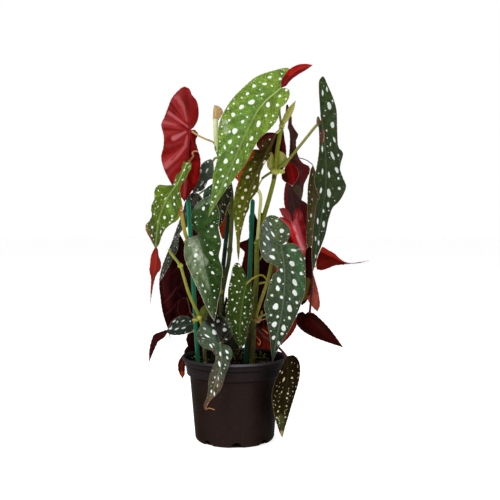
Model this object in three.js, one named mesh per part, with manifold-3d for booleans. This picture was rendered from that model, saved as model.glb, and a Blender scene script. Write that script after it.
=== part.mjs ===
// Potted polka dot begonia: a nursery pot of soil with three canes, three stakes and large spotted leaves.
// Millimetres, +Z up, origin at the centre of the pot's underside, front of the plant towards -Y.
import * as THREE from 'three';
import { mergeVertices } from 'three/addons/utils/BufferGeometryUtils.js';
import Module from 'manifold-3d';

const wasm = await Module();
wasm.setup();

// Driving dimensions of the pot, soil, stakes and leaves
const POT_HEIGHT = 112;
const RIM_RADIUS = 70;
const BAND_HEIGHT = 23;
const FOOT_RADIUS = 53;
const POT_WALL = 1.8;
const FLOOR_THICKNESS = 2.4;
const FOOT_CORNER = 5;
const NOTCH_COUNT = 8;
const NOTCH_RADIUS = 7.5;
const NOTCH_INNER = 47;
const NOTCH_TURN = THREE.MathUtils.degToRad(3.5);
const SOIL_TOP = 100;
const STAKE_RADIUS = 3;
const STEM_DEPTH_IN_SOIL = 40;
const STAKE_DEPTH_IN_SOIL = 80;
const BLADE_THICKNESS = 0.8;
const CLEARANCE = 0.35;

// Pot wall and rim band: radius, and height above the foot or distance below the rim's top
const WALL_TOP_RADIUS = 60;
const STEP_HEIGHT = 1.5;
const FOOT_BEVEL = 1.6;
const INNER_CORNER = FOOT_CORNER + 2;
const WALL_TOP = POT_HEIGHT - BAND_HEIGHT - STEP_HEIGHT;
const BAND_OUTSIDE = [[64, BAND_HEIGHT], [65.4, 12.5], [66.6, 11.5], [67.6, 5], [RIM_RADIUS, 4],
  [RIM_RADIUS, 0.8], [RIM_RADIUS - 0.8, 0], [RIM_RADIUS - 3, 0]];
const BAND_INSIDE = [[64.6, 6], [63.2, 13], [61.8, BAND_HEIGHT - FOOT_BEVEL]];

// Soil: gap to the wall, and its surface as radius and height over the soil's top
const SOIL_GAP = 0.6;
const SOIL_STEP = 87;
const SOIL_SURFACE = [[61, -8.5], [61.6, -1.5], [50, -0.5], [30, 1], [0, 1.5]];

// Fineness of the turned and swept solids
const WELD_DISTANCE = 1e-4;
const POT_SIDES = 36;
const SOIL_SIDES = 24;
const NOTCH_SIDES = 10;
const STAKE_SIDES = 10;
const STAKE_STEPS = 2;
const KNOB_SIDES = 8;
const KNOB_RINGS = 5;

// Drawing sheet: every outline is drawn as seen from the front, on a sheet of 500 by 500 units.
// Columns run to the right and rows run down. One unit is SHEET_UNIT mm at the pot's axis.
const SHEET_UNIT = 4 / 3;
const SHEET_CENTRE = 250;
const AXIS_COLUMN = 234.6;
const BASE_ROW = 438;
const EYE_DISTANCE = 1140;
const EYE_TILT = THREE.MathUtils.degToRad(2.6);

// Fineness of the blades: length of a row, fewest and most rows, steps across a half, rows round a lobe
const ROW_LENGTH = 16;
const FEWEST_ROWS = 5;
const MOST_ROWS = 11;
const HALF_STEPS = 2;
const LOBE_ROWS = 12;
const SMALLEST_LOBE = 0.05;
const LEFT_PHASE = 0;
const RIGHT_PHASE = 2;

const FORWARD = new THREE.Vector3(0, Math.cos(EYE_TILT), -Math.sin(EYE_TILT));
const UPWARD = new THREE.Vector3(0, Math.sin(EYE_TILT), Math.cos(EYE_TILT));
const baseDrop = (BASE_ROW - SHEET_CENTRE) * SHEET_UNIT;
const aimHeight = baseDrop / (Math.cos(EYE_TILT) - baseDrop * Math.sin(EYE_TILT) / EYE_DISTANCE);
const aimPoint = new THREE.Vector3((SHEET_CENTRE - AXIS_COLUMN) * SHEET_UNIT, 0, aimHeight);
const EYE = aimPoint.clone().addScaledVector(FORWARD, -EYE_DISTANCE);

// A point of the sheet, carried along the sight line to the depth y
function at(column, row, depth) {
  const ray = FORWARD.clone().multiplyScalar(EYE_DISTANCE);
  ray.x += (column - SHEET_CENTRE) * SHEET_UNIT;
  ray.addScaledVector(UPWARD, (SHEET_CENTRE - row) * SHEET_UNIT);
  return EYE.clone().addScaledVector(ray, (depth - EYE.y) / ray.y);
}

// Solids: between three.js geometry and closed solids that can be joined and cut
function solidOf(geometry) {
  const bare = geometry.clone();
  bare.deleteAttribute('normal');
  bare.deleteAttribute('uv');
  const merged = mergeVertices(bare, WELD_DISTANCE);
  const mesh = new wasm.Mesh({
    numProp: 3,
    vertProperties: new Float32Array(merged.attributes.position.array),
    triVerts: new Uint32Array(merged.index.array),
  });
  return new wasm.Manifold(mesh);
}

function geometryOf(solid) {
  const mesh = solid.getMesh();
  const geometry = new THREE.BufferGeometry();
  geometry.setAttribute('position', new THREE.BufferAttribute(new Float32Array(mesh.vertProperties), 3));
  geometry.setIndex(new THREE.BufferAttribute(new Uint32Array(mesh.triVerts), 1));
  geometry.computeVertexNormals();
  return geometry;
}

function joined(solids) {
  return solids.reduce((sum, next) => sum.add(next));
}

function largestBody(solid) {
  const bodies = solid.decompose();
  return bodies.reduce((best, next) => (next.volume() > best.volume() ? next : best));
}

// Leaf blade: each half spans from the midrib to its margin, and a basal lobe fans round the junction
function marginCurve(points, tip) {
  const all = [...points, [tip[0], tip[1]]].map(([column, row]) => new THREE.Vector3(column, row, 0));
  return new THREE.CatmullRomCurve3(all);
}

function smoothBump(t) {
  return Math.sqrt(Math.max(0, Math.sin(Math.PI * t)));
}

function bladePoint(leaf, side, midrib, margin, spoke, across) {
  const rib = midrib.getPointAt(spoke.along);
  const edge = margin.getPointAt(spoke.round);
  const column = THREE.MathUtils.lerp(rib.x, edge.x, across);
  const row = THREE.MathUtils.lerp(rib.y, edge.y, across);
  const right = (column - rib.x) * SHEET_UNIT;
  const up = (rib.y - row) * SHEET_UNIT;
  const reach = Math.hypot(right, up);
  const ripple = Math.sin(2 * Math.PI * leaf.waves * spoke.round + side.phase);
  const depth = rib.z + leaf.turn * right + leaf.rise * up + leaf.fold * reach
    + leaf.ripple * ripple * smoothBump(spoke.round) * across * across;
  return at(column, row, depth);
}

function spokesOf(side, bodyRows) {
  const spokes = [];
  const fanRows = Math.max(1, Math.round(side.lobe * LOBE_ROWS));
  for (let i = 0; i < fanRows; i += 1) {
    spokes.push({ along: 0, round: side.lobe * i / fanRows, rib: 0 });
  }
  for (let i = 0; i <= bodyRows; i += 1) {
    const share = i / bodyRows;
    spokes.push({ along: share, round: side.lobe + (1 - side.lobe) * share, rib: i });
  }
  return spokes;
}

function sheetOf(leaf) {
  const midrib = new THREE.CatmullRomCurve3(leaf.midrib.map((point) => new THREE.Vector3(...point)));
  const tip = leaf.midrib[leaf.midrib.length - 1];
  const points = [];
  const fullRows = Math.round(midrib.getLength() * SHEET_UNIT / ROW_LENGTH);
  const bodyRows = THREE.MathUtils.clamp(fullRows, FEWEST_ROWS, MOST_ROWS);
  for (let i = 0; i <= bodyRows; i += 1) {
    const rib = midrib.getPointAt(i / bodyRows);
    points.push(at(rib.x, rib.y, rib.z));
  }
  const triangles = [];
  const addTriangle = (a, b, c, flip) => {
    if (a !== b && b !== c && a !== c) {
      triangles.push(flip ? [a, c, b] : [a, b, c]);
    }
  };
  [leaf.left, leaf.right].forEach((side, sideIndex) => {
    const margin = marginCurve(side.points, tip);
    const rows = spokesOf(side, bodyRows).map((spoke) => {
      const row = [spoke.rib];
      for (let step = 1; step <= HALF_STEPS; step += 1) {
        if (spoke.along === 1) {
          row.push(bodyRows);
        } else {
          row.push(points.length);
          points.push(bladePoint(leaf, side, midrib, margin, spoke, step / HALF_STEPS));
        }
      }
      return row;
    });
    for (let i = 0; i + 1 < rows.length; i += 1) {
      for (let step = 0; step < HALF_STEPS; step += 1) {
        const flip = sideIndex === 1;
        addTriangle(rows[i][step], rows[i + 1][step], rows[i + 1][step + 1], flip);
        addTriangle(rows[i][step], rows[i + 1][step + 1], rows[i][step + 1], flip);
      }
    }
  });
  return { points, triangles };
}

function sheetNormals({ points, triangles }) {
  const normals = points.map(() => new THREE.Vector3());
  const triangle = new THREE.Triangle();
  triangles.forEach((corners) => {
    triangle.set(...corners.map((corner) => points[corner]));
    const normal = triangle.getNormal(new THREE.Vector3()).multiplyScalar(triangle.getArea());
    corners.forEach((corner) => normals[corner].add(normal));
  });
  return normals.map((normal) => normal.normalize());
}

// Both faces of a blade are split into triangles alike, half a thickness to each side of the sheet
function thicken(sheet, thickness) {
  const normals = sheetNormals(sheet);
  const count = sheet.points.length;
  const shifted = (way) => sheet.points.map((point, i) => (
    point.clone().addScaledVector(normals[i], way * thickness / 2)));
  const positions = [...shifted(1), ...shifted(-1)].flatMap((point) => point.toArray());
  const index = [];
  const edges = new Map();
  sheet.triangles.forEach(([a, b, c]) => {
    index.push(a, b, c, a + count, c + count, b + count);
    [[a, b], [b, c], [c, a]].forEach(([from, to]) => {
      const back = `${to}_${from}`;
      if (edges.has(back)) {
        edges.delete(back);
      } else {
        edges.set(`${from}_${to}`, [from, to]);
      }
    });
  });
  edges.forEach(([from, to]) => {
    index.push(to, from, from + count, to, from + count, to + count);
  });
  const mesh = new wasm.Mesh({
    numProp: 3,
    vertProperties: new Float32Array(positions),
    triVerts: new Uint32Array(index),
  });
  return new wasm.Manifold(mesh);
}

function bladeSheet(blade) {
  const first = blade.midrib[0];
  const last = blade.midrib[blade.midrib.length - 1];
  const leaf = {
    turn: 0,
    fold: 0.15,
    ripple: 2,
    waves: 5,
    rise: (last[2] - first[2]) / Math.hypot(last[0] - first[0], last[1] - first[1]) / SHEET_UNIT
      * Math.sign(first[1] - last[1]),
    ...blade,
  };
  leaf.left = { points: blade.left, lobe: blade.leftLobe ?? SMALLEST_LOBE, phase: LEFT_PHASE };
  leaf.right = { points: blade.right, lobe: blade.rightLobe ?? SMALLEST_LOBE, phase: RIGHT_PHASE };
  return sheetOf(leaf);
}

function leafSolid(leaf) {
  return joined(leaf.blades.map((blade) => thicken(bladeSheet(blade), BLADE_THICKNESS)));
}

// Colours of the plant, pot and stakes
const UPPER_GREEN = { color: 0x2c4428, roughness: 0.42, metalness: 0 };
const BRIGHT_GREEN = { color: 0x5a8c32, roughness: 0.45, metalness: 0 };
const OLIVE_GREEN = { color: 0x4b4a18, roughness: 0.45, metalness: 0 };
const UNDER_RED = { color: 0x7a0c16, roughness: 0.4, metalness: 0 };
const UNDER_MAROON = { color: 0x3a060b, roughness: 0.45, metalness: 0 };
const CANE_GREEN = { color: 0x6d7a24, roughness: 0.5, metalness: 0 };
const POT_BROWN = { color: 0x241c1a, roughness: 0.5, metalness: 0 };
const SOIL_BROWN = { color: 0x2b2019, roughness: 0.95, metalness: 0 };
const STAKE_GREEN = { color: 0x186e50, roughness: 0.4, metalness: 0 };

// Leaves: midrib points are column, row and depth y, margins run from the base notch to the tip
const LEAVES = {
  leaf_crown: {
    finish: BRIGHT_GREEN,
    blades: [{
      midrib: [[281, 88, -30], [262, 105, -42], [250, 125, -54], [232, 165, -68], [218, 195, -74],
        [208.3, 217, -76]],
      left: [[285, 84], [290, 77], [289, 68.5], [272, 71], [256, 77], [245, 86], [233, 98], [225, 110],
        [220, 121], [218, 133], [217.6, 148], [216.4, 163], [213.8, 172], [211.5, 194]],
      right: [[285, 88], [289, 90], [289.5, 96], [286, 103], [279, 110], [277.6, 119], [268, 131],
        [260, 138], [254, 148], [245, 164.6], [238, 174], [230.4, 184], [223, 194], [217, 203]],
      leftLobe: 0.2,
      rightLobe: 0.1,
      turn: -0.25,
      fold: 0.25,
    }, {
      midrib: [[281, 88, -30], [289, 77, -36], [299, 69, -42], [312.8, 65, -46]],
      left: [[281, 82], [285.3, 74], [290.6, 68.4], [298.3, 64.6], [306, 63.8]],
      right: [[286, 86], [291, 80], [298.3, 74.5], [306, 70]],
      ripple: 0.6,
    }],
  },
  leaf_left_red: {
    finish: UNDER_RED,
    blades: [{
      midrib: [[190.4, 130, 2], [188, 150, -6], [186, 175, -14], [184.4, 201.6, -20]],
      left: [[193.8, 127.2], [197.4, 121], [198.7, 113.5], [197, 101.5], [191.8, 94.5], [189.4, 89],
        [184, 86.8], [178.6, 90.2], [171.6, 98.6], [168, 107.5], [164.2, 117.5], [161.3, 124.5],
        [163.8, 136.5], [163.4, 147], [161.2, 157], [163.6, 168], [171.5, 184], [180, 195.5]],
      right: [[194.6, 129.6], [198, 134], [195.6, 140.8], [197.6, 148.5], [200.4, 159], [200.2, 170],
        [198.4, 181.5], [191, 192.5]],
      leftLobe: 0.5,
      rightLobe: 0.06,
      turn: -0.1,
      fold: 0.65,
      ripple: 3,
    }],
  },
  leaf_left_lime: {
    finish: BRIGHT_GREEN,
    blades: [{
      midrib: [[187, 163, -44], [178, 182, -51], [168, 197, -56], [160.5, 214, -60], [157, 232, -64],
        [155.6, 249, -66]],
      left: [[184, 161.2], [182.4, 166], [181, 171.5], [176.5, 175.3], [174.6, 181], [172.6, 186.4],
        [166, 185.6], [158.5, 185.2], [154.6, 190.5], [154.5, 198.5], [151.6, 205.5], [151.2, 211],
        [152, 214.5], [149.6, 220.5], [145, 226], [146.6, 232], [150.6, 239.5]],
      right: [[189, 160], [191.4, 164.2], [191, 168.6], [188.5, 173], [186, 178.5], [182, 184],
        [180.2, 189], [180.8, 196], [182, 203], [182.8, 209], [180.8, 214.5], [177, 220.5],
        [171, 224.3], [165.6, 229], [161.6, 236.4], [159.4, 243.5]],
      turn: -0.5,
      ripple: 3,
      waves: 4,
    }, {
      midrib: [[156, 246, -66], [155.8, 262, -66], [152.8, 280, -64], [150.4, 303.5, -62]],
      left: [[153.4, 250], [151, 256], [150, 264], [149.4, 271], [151, 278], [150.6, 290]],
      right: [[158, 249.6], [158.6, 256], [160.8, 262], [160.6, 269], [156.6, 274.5], [154, 282],
        [152, 293]],
      ripple: 0.5,
      turn: 0.4,
    }],
  },
  leaf_left_small: {
    finish: UPPER_GREEN,
    blades: [{
      midrib: [[213, 161, 22], [208, 172, 23], [201, 183, 22], [192.5, 192, 20]],
      left: [[210.5, 159], [205, 161.4], [201, 165.5], [199.6, 173], [198.6, 179.5], [194.6, 185]],
      right: [[213.6, 165], [213.8, 172], [213, 178.4], [208.6, 180], [206.2, 184.5], [203.6, 189.4],
        [198, 191.8]],
      turn: -0.6,
      ripple: 1,
    }],
  },
  leaf_left_dark: {
    finish: UPPER_GREEN,
    blades: [{
      midrib: [[199, 194, 29], [190.5, 206, 30], [182.6, 224, 30], [174.6, 244, 29], [166.5, 262, 29],
        [160.4, 281, 29]],
      left: [[194, 191.4], [188.6, 195.5], [185.2, 202], [183.4, 209], [180.8, 217], [177.4, 226],
        [174.4, 235], [170.6, 245], [166.4, 255], [162.4, 266], [160.2, 275]],
      right: [[202.6, 198.6], [201, 206], [196, 213], [191, 222], [185.6, 228.6], [180.6, 232],
        [178.6, 240], [177.6, 250], [173, 258], [168, 268], [163.6, 276]],
      fold: 0,
      turn: -0.2,
      ripple: 1,
    }],
  },
  leaf_left_inner: {
    finish: UNDER_RED,
    blades: [{
      midrib: [[187, 297.5, 22], [185, 307, 23], [183.5, 318, 24]],
      left: [[183, 298], [179, 301.6], [177.6, 307], [178.6, 313.4]],
      right: [[188.6, 300], [190, 306.5], [189.2, 313]],
      ripple: 0.5,
    }],
  },
  leaf_centre_left: {
    finish: UPPER_GREEN,
    blades: [{
      midrib: [[198.4, 235, -44], [202.4, 248, -50], [205.3, 266, -55], [209.5, 283, -59],
        [212.5, 302, -62], [214.3, 321, -64]],
      left: [[194.5, 236.5], [189, 238], [184.8, 245], [184.4, 256], [186.5, 264], [190.6, 273],
        [195.2, 283.4], [200.3, 293.6], [205.4, 305.3], [210.5, 315.5]],
      right: [[195, 231], [191.5, 224], [191.5, 215], [196, 205], [203, 199], [211, 197], [217, 205],
        [219.6, 217], [218.5, 227], [221.3, 243], [219, 257], [222.8, 269], [221.5, 281], [220.7, 291],
        [218.2, 301], [216.6, 311]],
      leftLobe: 0.1,
      rightLobe: 0.45,
      turn: -0.15,
      rise: -0.2,
      fold: 0.35,
      ripple: 2.5,
    }],
  },
  leaf_centre_dark: {
    finish: UPPER_GREEN,
    blades: [{
      midrib: [[226, 178, -16], [223, 195, -14], [220.6, 210, -12], [219, 226.5, -11]],
      left: [[221, 178.6], [212.5, 183.6], [206.5, 188], [203.6, 193], [203, 200], [206, 211],
        [212, 221]],
      right: [[231, 183.5], [231.8, 191], [230.6, 199], [227.6, 206], [225.6, 213], [224, 219.6],
        [221.4, 224]],
      ripple: 1,
    }],
  },
  leaf_olive: {
    finish: OLIVE_GREEN,
    blades: [{
      midrib: [[276, 133, -12], [267, 152, -19], [256, 175, -26], [246, 200, -30], [240, 222, -31],
        [238.5, 240, -30], [238.4, 261, -28]],
      left: [[272, 132.4], [267, 132.7], [260, 138], [256.4, 144.6], [259, 149.8], [254.6, 149.2],
        [249.6, 153], [245.4, 159], [240.8, 168], [235, 177.6], [238, 181], [235.8, 189],
        [234, 200], [233.3, 212], [234.4, 223], [236.6, 239], [237, 250]],
      right: [[276.5, 136], [271.5, 148], [270.7, 154], [265, 163.4], [260.8, 171.5], [259, 183],
        [257.5, 191], [254, 196], [250, 202], [248.8, 209], [246, 214.5], [243.6, 223], [240.2, 238],
        [239.8, 250]],
      turn: 0.5,
      fold: 0.3,
      ripple: 2,
    }],
  },
  leaf_right_tall: {
    finish: UPPER_GREEN,
    blades: [{
      midrib: [[321.6, 121, -18], [324.5, 145, -20], [326, 168, -22], [325, 192, -25], [321, 218, -28],
        [316.5, 246, -30], [312.5, 273, -30]],
      left: [[319, 123.5], [317.6, 119.5], [319, 132], [319, 148.6], [317.8, 160], [316, 170],
        [314, 180], [316, 189], [319.2, 197.4], [316, 205], [314.5, 216], [313, 230], [311.8, 245],
        [311.8, 260]],
      right: [[320.5, 116], [319.7, 102], [319, 89], [319.5, 80], [323, 76.4], [328, 86], [333.4, 98.7],
        [336.4, 110], [337, 122], [337.3, 134], [338.5, 147], [342.9, 153], [340.8, 163], [340, 169],
        [343, 178], [346, 186], [343, 195], [338.5, 202], [332.7, 207.7], [330, 214.6], [328, 221.5],
        [325.4, 234], [321.4, 245.8], [318, 254.4], [315, 264.8]],
      leftLobe: 0.05,
      rightLobe: 0.36,
      turn: 0.9,
      ripple: 4,
      waves: 6,
    }],
  },
  leaf_right_olive: {
    finish: OLIVE_GREEN,
    blades: [{
      midrib: [[313, 165, 10], [313, 190, 10], [312, 220, 8], [309, 250, 6]],
      left: [[310.5, 170], [308, 185], [307.4, 205], [306.8, 225], [306, 240]],
      right: [[315.5, 172], [319, 190], [319, 210], [316, 230], [313, 243]],
      turn: 1.2,
      ripple: 1,
    }],
  },
  leaf_lower_right: {
    finish: UPPER_GREEN,
    blades: [{
      midrib: [[281.2, 245.3, -48], [284, 265, -53], [284.5, 285, -54], [282, 310, -50],
        [277, 336, -42], [272.3, 362.7, -28]],
      left: [[284, 243], [288, 239.5], [290.6, 233], [289, 227], [284.6, 222.5], [279, 217.5],
        [272, 215], [266, 217.5], [261, 227], [259, 240], [261, 253], [266, 261.5], [274, 265],
        [277.5, 270], [273, 275.5], [269, 285], [266.2, 297.5], [264, 306], [265.6, 314],
        [268, 326.4], [270, 338.5], [271, 351]],
      right: [[284.5, 247.5], [288, 244], [294, 243.5], [301, 250], [304.7, 260], [305.5, 277],
        [304.7, 293], [301, 304], [296.2, 316], [291.4, 326.4], [285.3, 337], [280.4, 344.5],
        [276, 354]],
      leftLobe: 0.4,
      rightLobe: 0.2,
      rise: -0.15,
      turn: 0.3,
      fold: 0.25,
      ripple: 3,
    }],
  },
  leaf_lower_centre: {
    finish: UPPER_GREEN,
    blades: [{
      midrib: [[246, 284, -34], [243, 300, -35], [240.5, 318, -34], [239.5, 335, -30],
        [240, 349, -24]],
      left: [[247.4, 281], [245, 273], [241, 265.5], [237, 262.5], [233, 266.5], [231, 276],
        [228.4, 288], [227.6, 299], [225.3, 310], [227, 319], [229.5, 328.7], [233, 336.7],
        [237, 343.6]],
      right: [[248.5, 284.6], [251, 285.5], [254, 289], [254, 297], [252.9, 306], [250.8, 320],
        [248, 328], [246.8, 337], [244, 345]],
      leftLobe: 0.44,
      rightLobe: 0.07,
      rise: 0,
      turn: 0.3,
      fold: 0.3,
      ripple: 1.5,
    }],
  },
  leaf_over_rim: {
    finish: UPPER_GREEN,
    blades: [{
      midrib: [[220.1, 344.2, -62], [221.5, 355, -69], [220.5, 367, -77], [216.5, 380, -80],
        [211.5, 395, -80], [205.3, 410, -78]],
      left: [[226, 342], [230, 339], [232.4, 333], [231, 326], [227.5, 319], [219, 315], [209, 314],
        [202.6, 323], [198, 330], [196.2, 336], [199, 343.6], [204.3, 348.2], [211, 350],
        [215.5, 356], [214.6, 362], [210.6, 372], [208.5, 381], [208, 390], [206.5, 398],
        [203.7, 405.5]],
      right: [[225, 344.6], [229.5, 346.5], [232.4, 353], [230, 362], [228, 368], [224.8, 377],
        [223, 384], [219.8, 391], [213.5, 397.5], [209, 402.5]],
      leftLobe: 0.52,
      rightLobe: 0.08,
      ripple: 2,
      rise: 0.35,
      fold: 0.12,
    }],
  },
  leaf_low_dark: {
    finish: UPPER_GREEN,
    blades: [{
      midrib: [[224, 304, 9], [227, 318, 10], [233, 333, 10.5], [241, 346, 11]],
      left: [[220, 303.5], [215, 311], [206, 315], [199, 319], [198, 325], [205, 331], [215, 337],
        [226, 344], [235, 347]],
      right: [[227, 302.5], [229.4, 309], [231.4, 318], [235, 328], [240, 335], [244, 341]],
      turn: 0,
      fold: 0,
      ripple: 0.6,
    }],
  },
  leaf_hanging_right: {
    finish: OLIVE_GREEN,
    blades: [{
      midrib: [[286.8, 357, -56], [288, 370, -62], [286, 390, -64], [284, 412, -62],
        [282.2, 437.6, -56]],
      left: [[285.2, 361], [279.5, 371.8], [275, 381.7], [271.8, 394.7], [272.6, 406], [275, 417.7],
        [277.2, 425.4], [279.8, 433]],
      right: [[289, 355.6], [293.5, 355.4], [297.4, 358.5], [299.8, 364.5], [300, 374], [298, 384.5],
        [294.8, 394.7], [290.2, 410], [285.4, 426]],
      turn: 0.3,
      rise: 0,
      ripple: 1.5,
      fold: 0.1,
    }],
  },
  leaf_lower_left: {
    finish: UPPER_GREEN,
    blades: [{
      midrib: [[193, 323.5, -22], [184, 325.5, -30], [175, 328, -37], [166, 332, -42]],
      left: [[192, 319.5], [188.8, 317], [180.2, 316], [172, 321], [168.5, 327]],
      right: [[193.6, 327], [192, 331], [183.4, 334.3], [176.3, 335.2], [170, 334.4]],
      ripple: 0.8,
      rise: 0,
      turn: 0.65,
    }, {
      midrib: [[168, 331.2, -41.2], [160.5, 335, -45], [154, 342, -47], [151, 351, -48],
        [149.2, 362, -48]],
      left: [[166, 329.8], [160.6, 331.8], [154, 334.7], [151.6, 340], [149.8, 347], [149, 354]],
      right: [[166, 335], [163.8, 337.8], [158.4, 341.5], [156, 346], [153, 352.6]],
      ripple: 0.4,
      rise: 0,
      turn: 0.4,
    }],
  },
  leaf_left_maroon: {
    finish: UNDER_MAROON,
    blades: [{
      midrib: [[184, 242, 37], [180, 262, 38], [175.5, 285, 38], [171.5, 308, 37], [167.4, 327.8, 35]],
      left: [[181, 238.6], [179, 233], [175.8, 231.4], [172.8, 240], [168.4, 251], [163.4, 264],
        [159.8, 276], [159.2, 286], [160.2, 296], [161.6, 307], [164, 317.5]],
      right: [[187, 237.6], [194, 241], [200, 254], [204.5, 272], [206.5, 290], [205, 306],
        [197, 317], [183, 324]],
      leftLobe: 0.14,
      rightLobe: 0.05,
      turn: -0.3,
      ripple: 2.5,
    }],
  },
  leaf_right_red: {
    finish: UNDER_RED,
    blades: [{
      midrib: [[316, 266, 6], [326, 260.5, 14], [338, 261.5, 22], [349, 263.4, 28], [359, 262.6, 32],
        [369, 260.6, 36]],
      left: [[316.5, 260], [319.6, 252], [322.5, 247], [328.4, 250], [334.6, 253.6], [339, 257.8],
        [344.4, 261.6], [350, 263], [359, 262.2]],
      right: [[317, 269.5], [322, 270.2], [328, 268.4], [335, 265.6], [343, 264.7], [350, 263.8],
        [359, 263]],
      rise: 0.3,
      turn: 0.5,
      ripple: 1.5,
      leftLobe: 0.2,
    }],
  },
  leaf_right_low: {
    finish: UNDER_MAROON,
    blades: [{
      midrib: [[305.5, 314, -10], [313, 323, -18], [322, 330.5, -26], [333, 339, -33],
        [343.2, 347.3, -38]],
      left: [[308, 312], [313.5, 313.2], [318.6, 317.3], [326.5, 325], [334.5, 335]],
      right: [[302.5, 311.5], [297.5, 314], [296.5, 323.3], [302.3, 330.6], [312.6, 336.7],
        [321.6, 340.3], [333.8, 344.5]],
      rightLobe: 0.15,
      rise: 0.4,
      turn: -0.5,
      ripple: 1.5,
    }],
  },
  leaf_right_rounded: {
    finish: UNDER_RED,
    blades: [{
      midrib: [[313, 274, 14], [313.6, 290, 17], [314.8, 301, 19], [317.4, 311.6, 20]],
      left: [[310, 278], [308, 290], [307.6, 299], [312, 306.4]],
      right: [[315, 280], [317.4, 288], [319.2, 297], [319.8, 305.6]],
      turn: 0.6,
      ripple: 0.6,
    }],
  },
  leaf_right_inner: {
    finish: OLIVE_GREEN,
    blades: [{
      midrib: [[308.6, 246, -9], [308.4, 262, -9], [306.6, 282, -9], [301.6, 305.6, -8]],
      left: [[306, 250], [304.6, 264], [303, 282], [300, 296]],
      right: [[310.2, 250], [310, 262], [309, 278], [309, 292], [306.4, 301.6]],
      ripple: 0.6,
    }],
  },
  leaf_crimson: {
    finish: UNDER_RED,
    blades: [{
      midrib: [[293.6, 222, -11], [297, 232, -14], [301, 243, -16], [305, 254, -17]],
      left: [[290, 219], [281, 217.4], [286.6, 222], [290.6, 228], [291.4, 236], [295, 242.6],
        [301, 249]],
      right: [[293.4, 214], [297, 208.6], [301.6, 212], [304, 222], [306, 231], [306.4, 243]],
      leftLobe: 0.3,
      rightLobe: 0.2,
      rise: 0,
      ripple: 1.2,
      fold: 0.3,
    }, {
      midrib: [[292, 222, -11], [287.6, 217, -10], [283.6, 212.6, -9], [279, 208.4, -8]],
      left: [[289, 221.4], [284, 218], [280.6, 212.4]],
      right: [[291.4, 217.6], [289.6, 212.6], [284.6, 208]],
      ripple: 0.3,
    }],
  },
  leaf_rear_tall: {
    finish: UNDER_MAROON,
    blades: [{
      midrib: [[287.4, 104.6, 16], [290, 125, 22], [294, 150, 28], [299, 172, 33], [301.4, 200, 36]],
      left: [[286.6, 109], [287.6, 115], [289.2, 121], [287.8, 127.4], [289.6, 133], [289.8, 146],
        [289, 157], [290.4, 170], [292.4, 186], [296.6, 195.4]],
      right: [[288.8, 109], [290.8, 113], [291.8, 119], [292, 124.6], [295, 130], [298.2, 134.8],
        [296.2, 140.4], [296.6, 150], [299.6, 159], [303.6, 163.8], [309, 166.4], [309.8, 171],
        [307, 178], [304, 184.4], [303, 193]],
      ripple: 1.5,
      turn: 0.8,
    }],
  },
  leaf_rear_fold: {
    finish: UNDER_RED,
    blades: [{
      midrib: [[288.6, 161, 10], [291.4, 170, 11], [293.6, 178, 12], [293, 186, 14]],
      left: [[286, 165], [283.6, 171], [281.4, 175.4], [283, 180.4], [287, 183]],
      right: [[290.8, 162.4], [295.2, 165.4], [298.4, 171.6], [298.3, 177.4], [295.4, 182]],
      ripple: 0.8,
    }],
  },
  leaf_rear_wide: {
    finish: UNDER_MAROON,
    blades: [{
      midrib: [[287.6, 180, 18], [292.4, 198, 22], [296.6, 216, 24], [301, 236, 24], [306.4, 259, 22]],
      left: [[285.4, 184], [284.2, 191], [284, 202], [285.4, 209], [289, 218], [293, 230],
        [298, 244]],
      right: [[290.6, 184], [295.6, 192], [300.6, 199.4], [307, 203.8], [307.8, 212], [307.2, 221],
        [308.8, 231], [308, 238], [306.6, 243], [308.6, 251]],
      ripple: 1.5,
    }],
  },
  leaf_rear_top: {
    finish: UNDER_MAROON,
    blades: [{
      midrib: [[283, 128, 34], [281.5, 148, 42], [277, 171, 46]],
      left: [[277, 130.6], [271.4, 142], [271.6, 158]],
      right: [[284, 138], [286, 148], [285, 163]],
      ripple: 1,
      turn: -0.5,
    }],
  },
  leaf_rear_centre: {
    finish: UNDER_MAROON,
    blades: [{
      midrib: [[259, 224, 36], [262, 245, 44], [265, 268, 50], [266, 291, 52], [262, 315, 52]],
      left: [[256, 222], [252, 218], [254.6, 212.8], [250, 214], [249, 226], [248.6, 238.4],
        [244.4, 240.6], [238.6, 243.4], [239.6, 247], [244.4, 252], [243.4, 258], [241.6, 268],
        [246, 282], [252, 300]],
      right: [[261, 220], [259.6, 212.4], [266, 216], [275, 236], [284, 255], [288, 272],
        [285, 290], [275, 306]],
      leftLobe: 0.2,
      rightLobe: 0.12,
      turn: 0.3,
      fold: -0.2,
      ripple: 2.5,
      waves: 4,
    }],
  },
  leaf_rear_red: {
    finish: UNDER_RED,
    blades: [{
      midrib: [[262, 317.5, 54], [264, 335, 66], [262.6, 352, 71], [260, 368, 72]],
      left: [[258, 321], [254.6, 333], [252.6, 346], [254, 359]],
      right: [[266, 320], [268.6, 329], [270.8, 342], [270, 354], [266, 362]],
      rise: -0.1,
      ripple: 0.8,
    }],
  },
  leaf_rear_low: {
    finish: UNDER_RED,
    blades: [{
      midrib: [[291, 312, 16], [292.4, 322, 20], [288.6, 332, 23], [280.6, 345.6, 26]],
      left: [[286.4, 314], [284, 324], [281.6, 336]],
      right: [[295, 314.6], [297.4, 322], [294.4, 330], [289.6, 336.8], [284.6, 341.8]],
      ripple: 0.8,
    }],
  },
  leaf_rear_small: {
    finish: UNDER_RED,
    blades: [{
      midrib: [[225, 214, 22], [224, 226, 23], [222.6, 239.4, 24]],
      left: [[221.8, 218], [219, 226], [220.4, 234]],
      right: [[227, 218], [227.6, 226], [227, 236]],
      ripple: 0.4,
    }, {
      midrib: [[231, 197, 20], [229, 206, 21], [225.6, 219, 22.4]],
      left: [[228.6, 203], [225.6, 212]],
      right: [[231.6, 204], [230.6, 212]],
      ripple: 0.2,
      rise: 0,
    }],
  },
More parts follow.
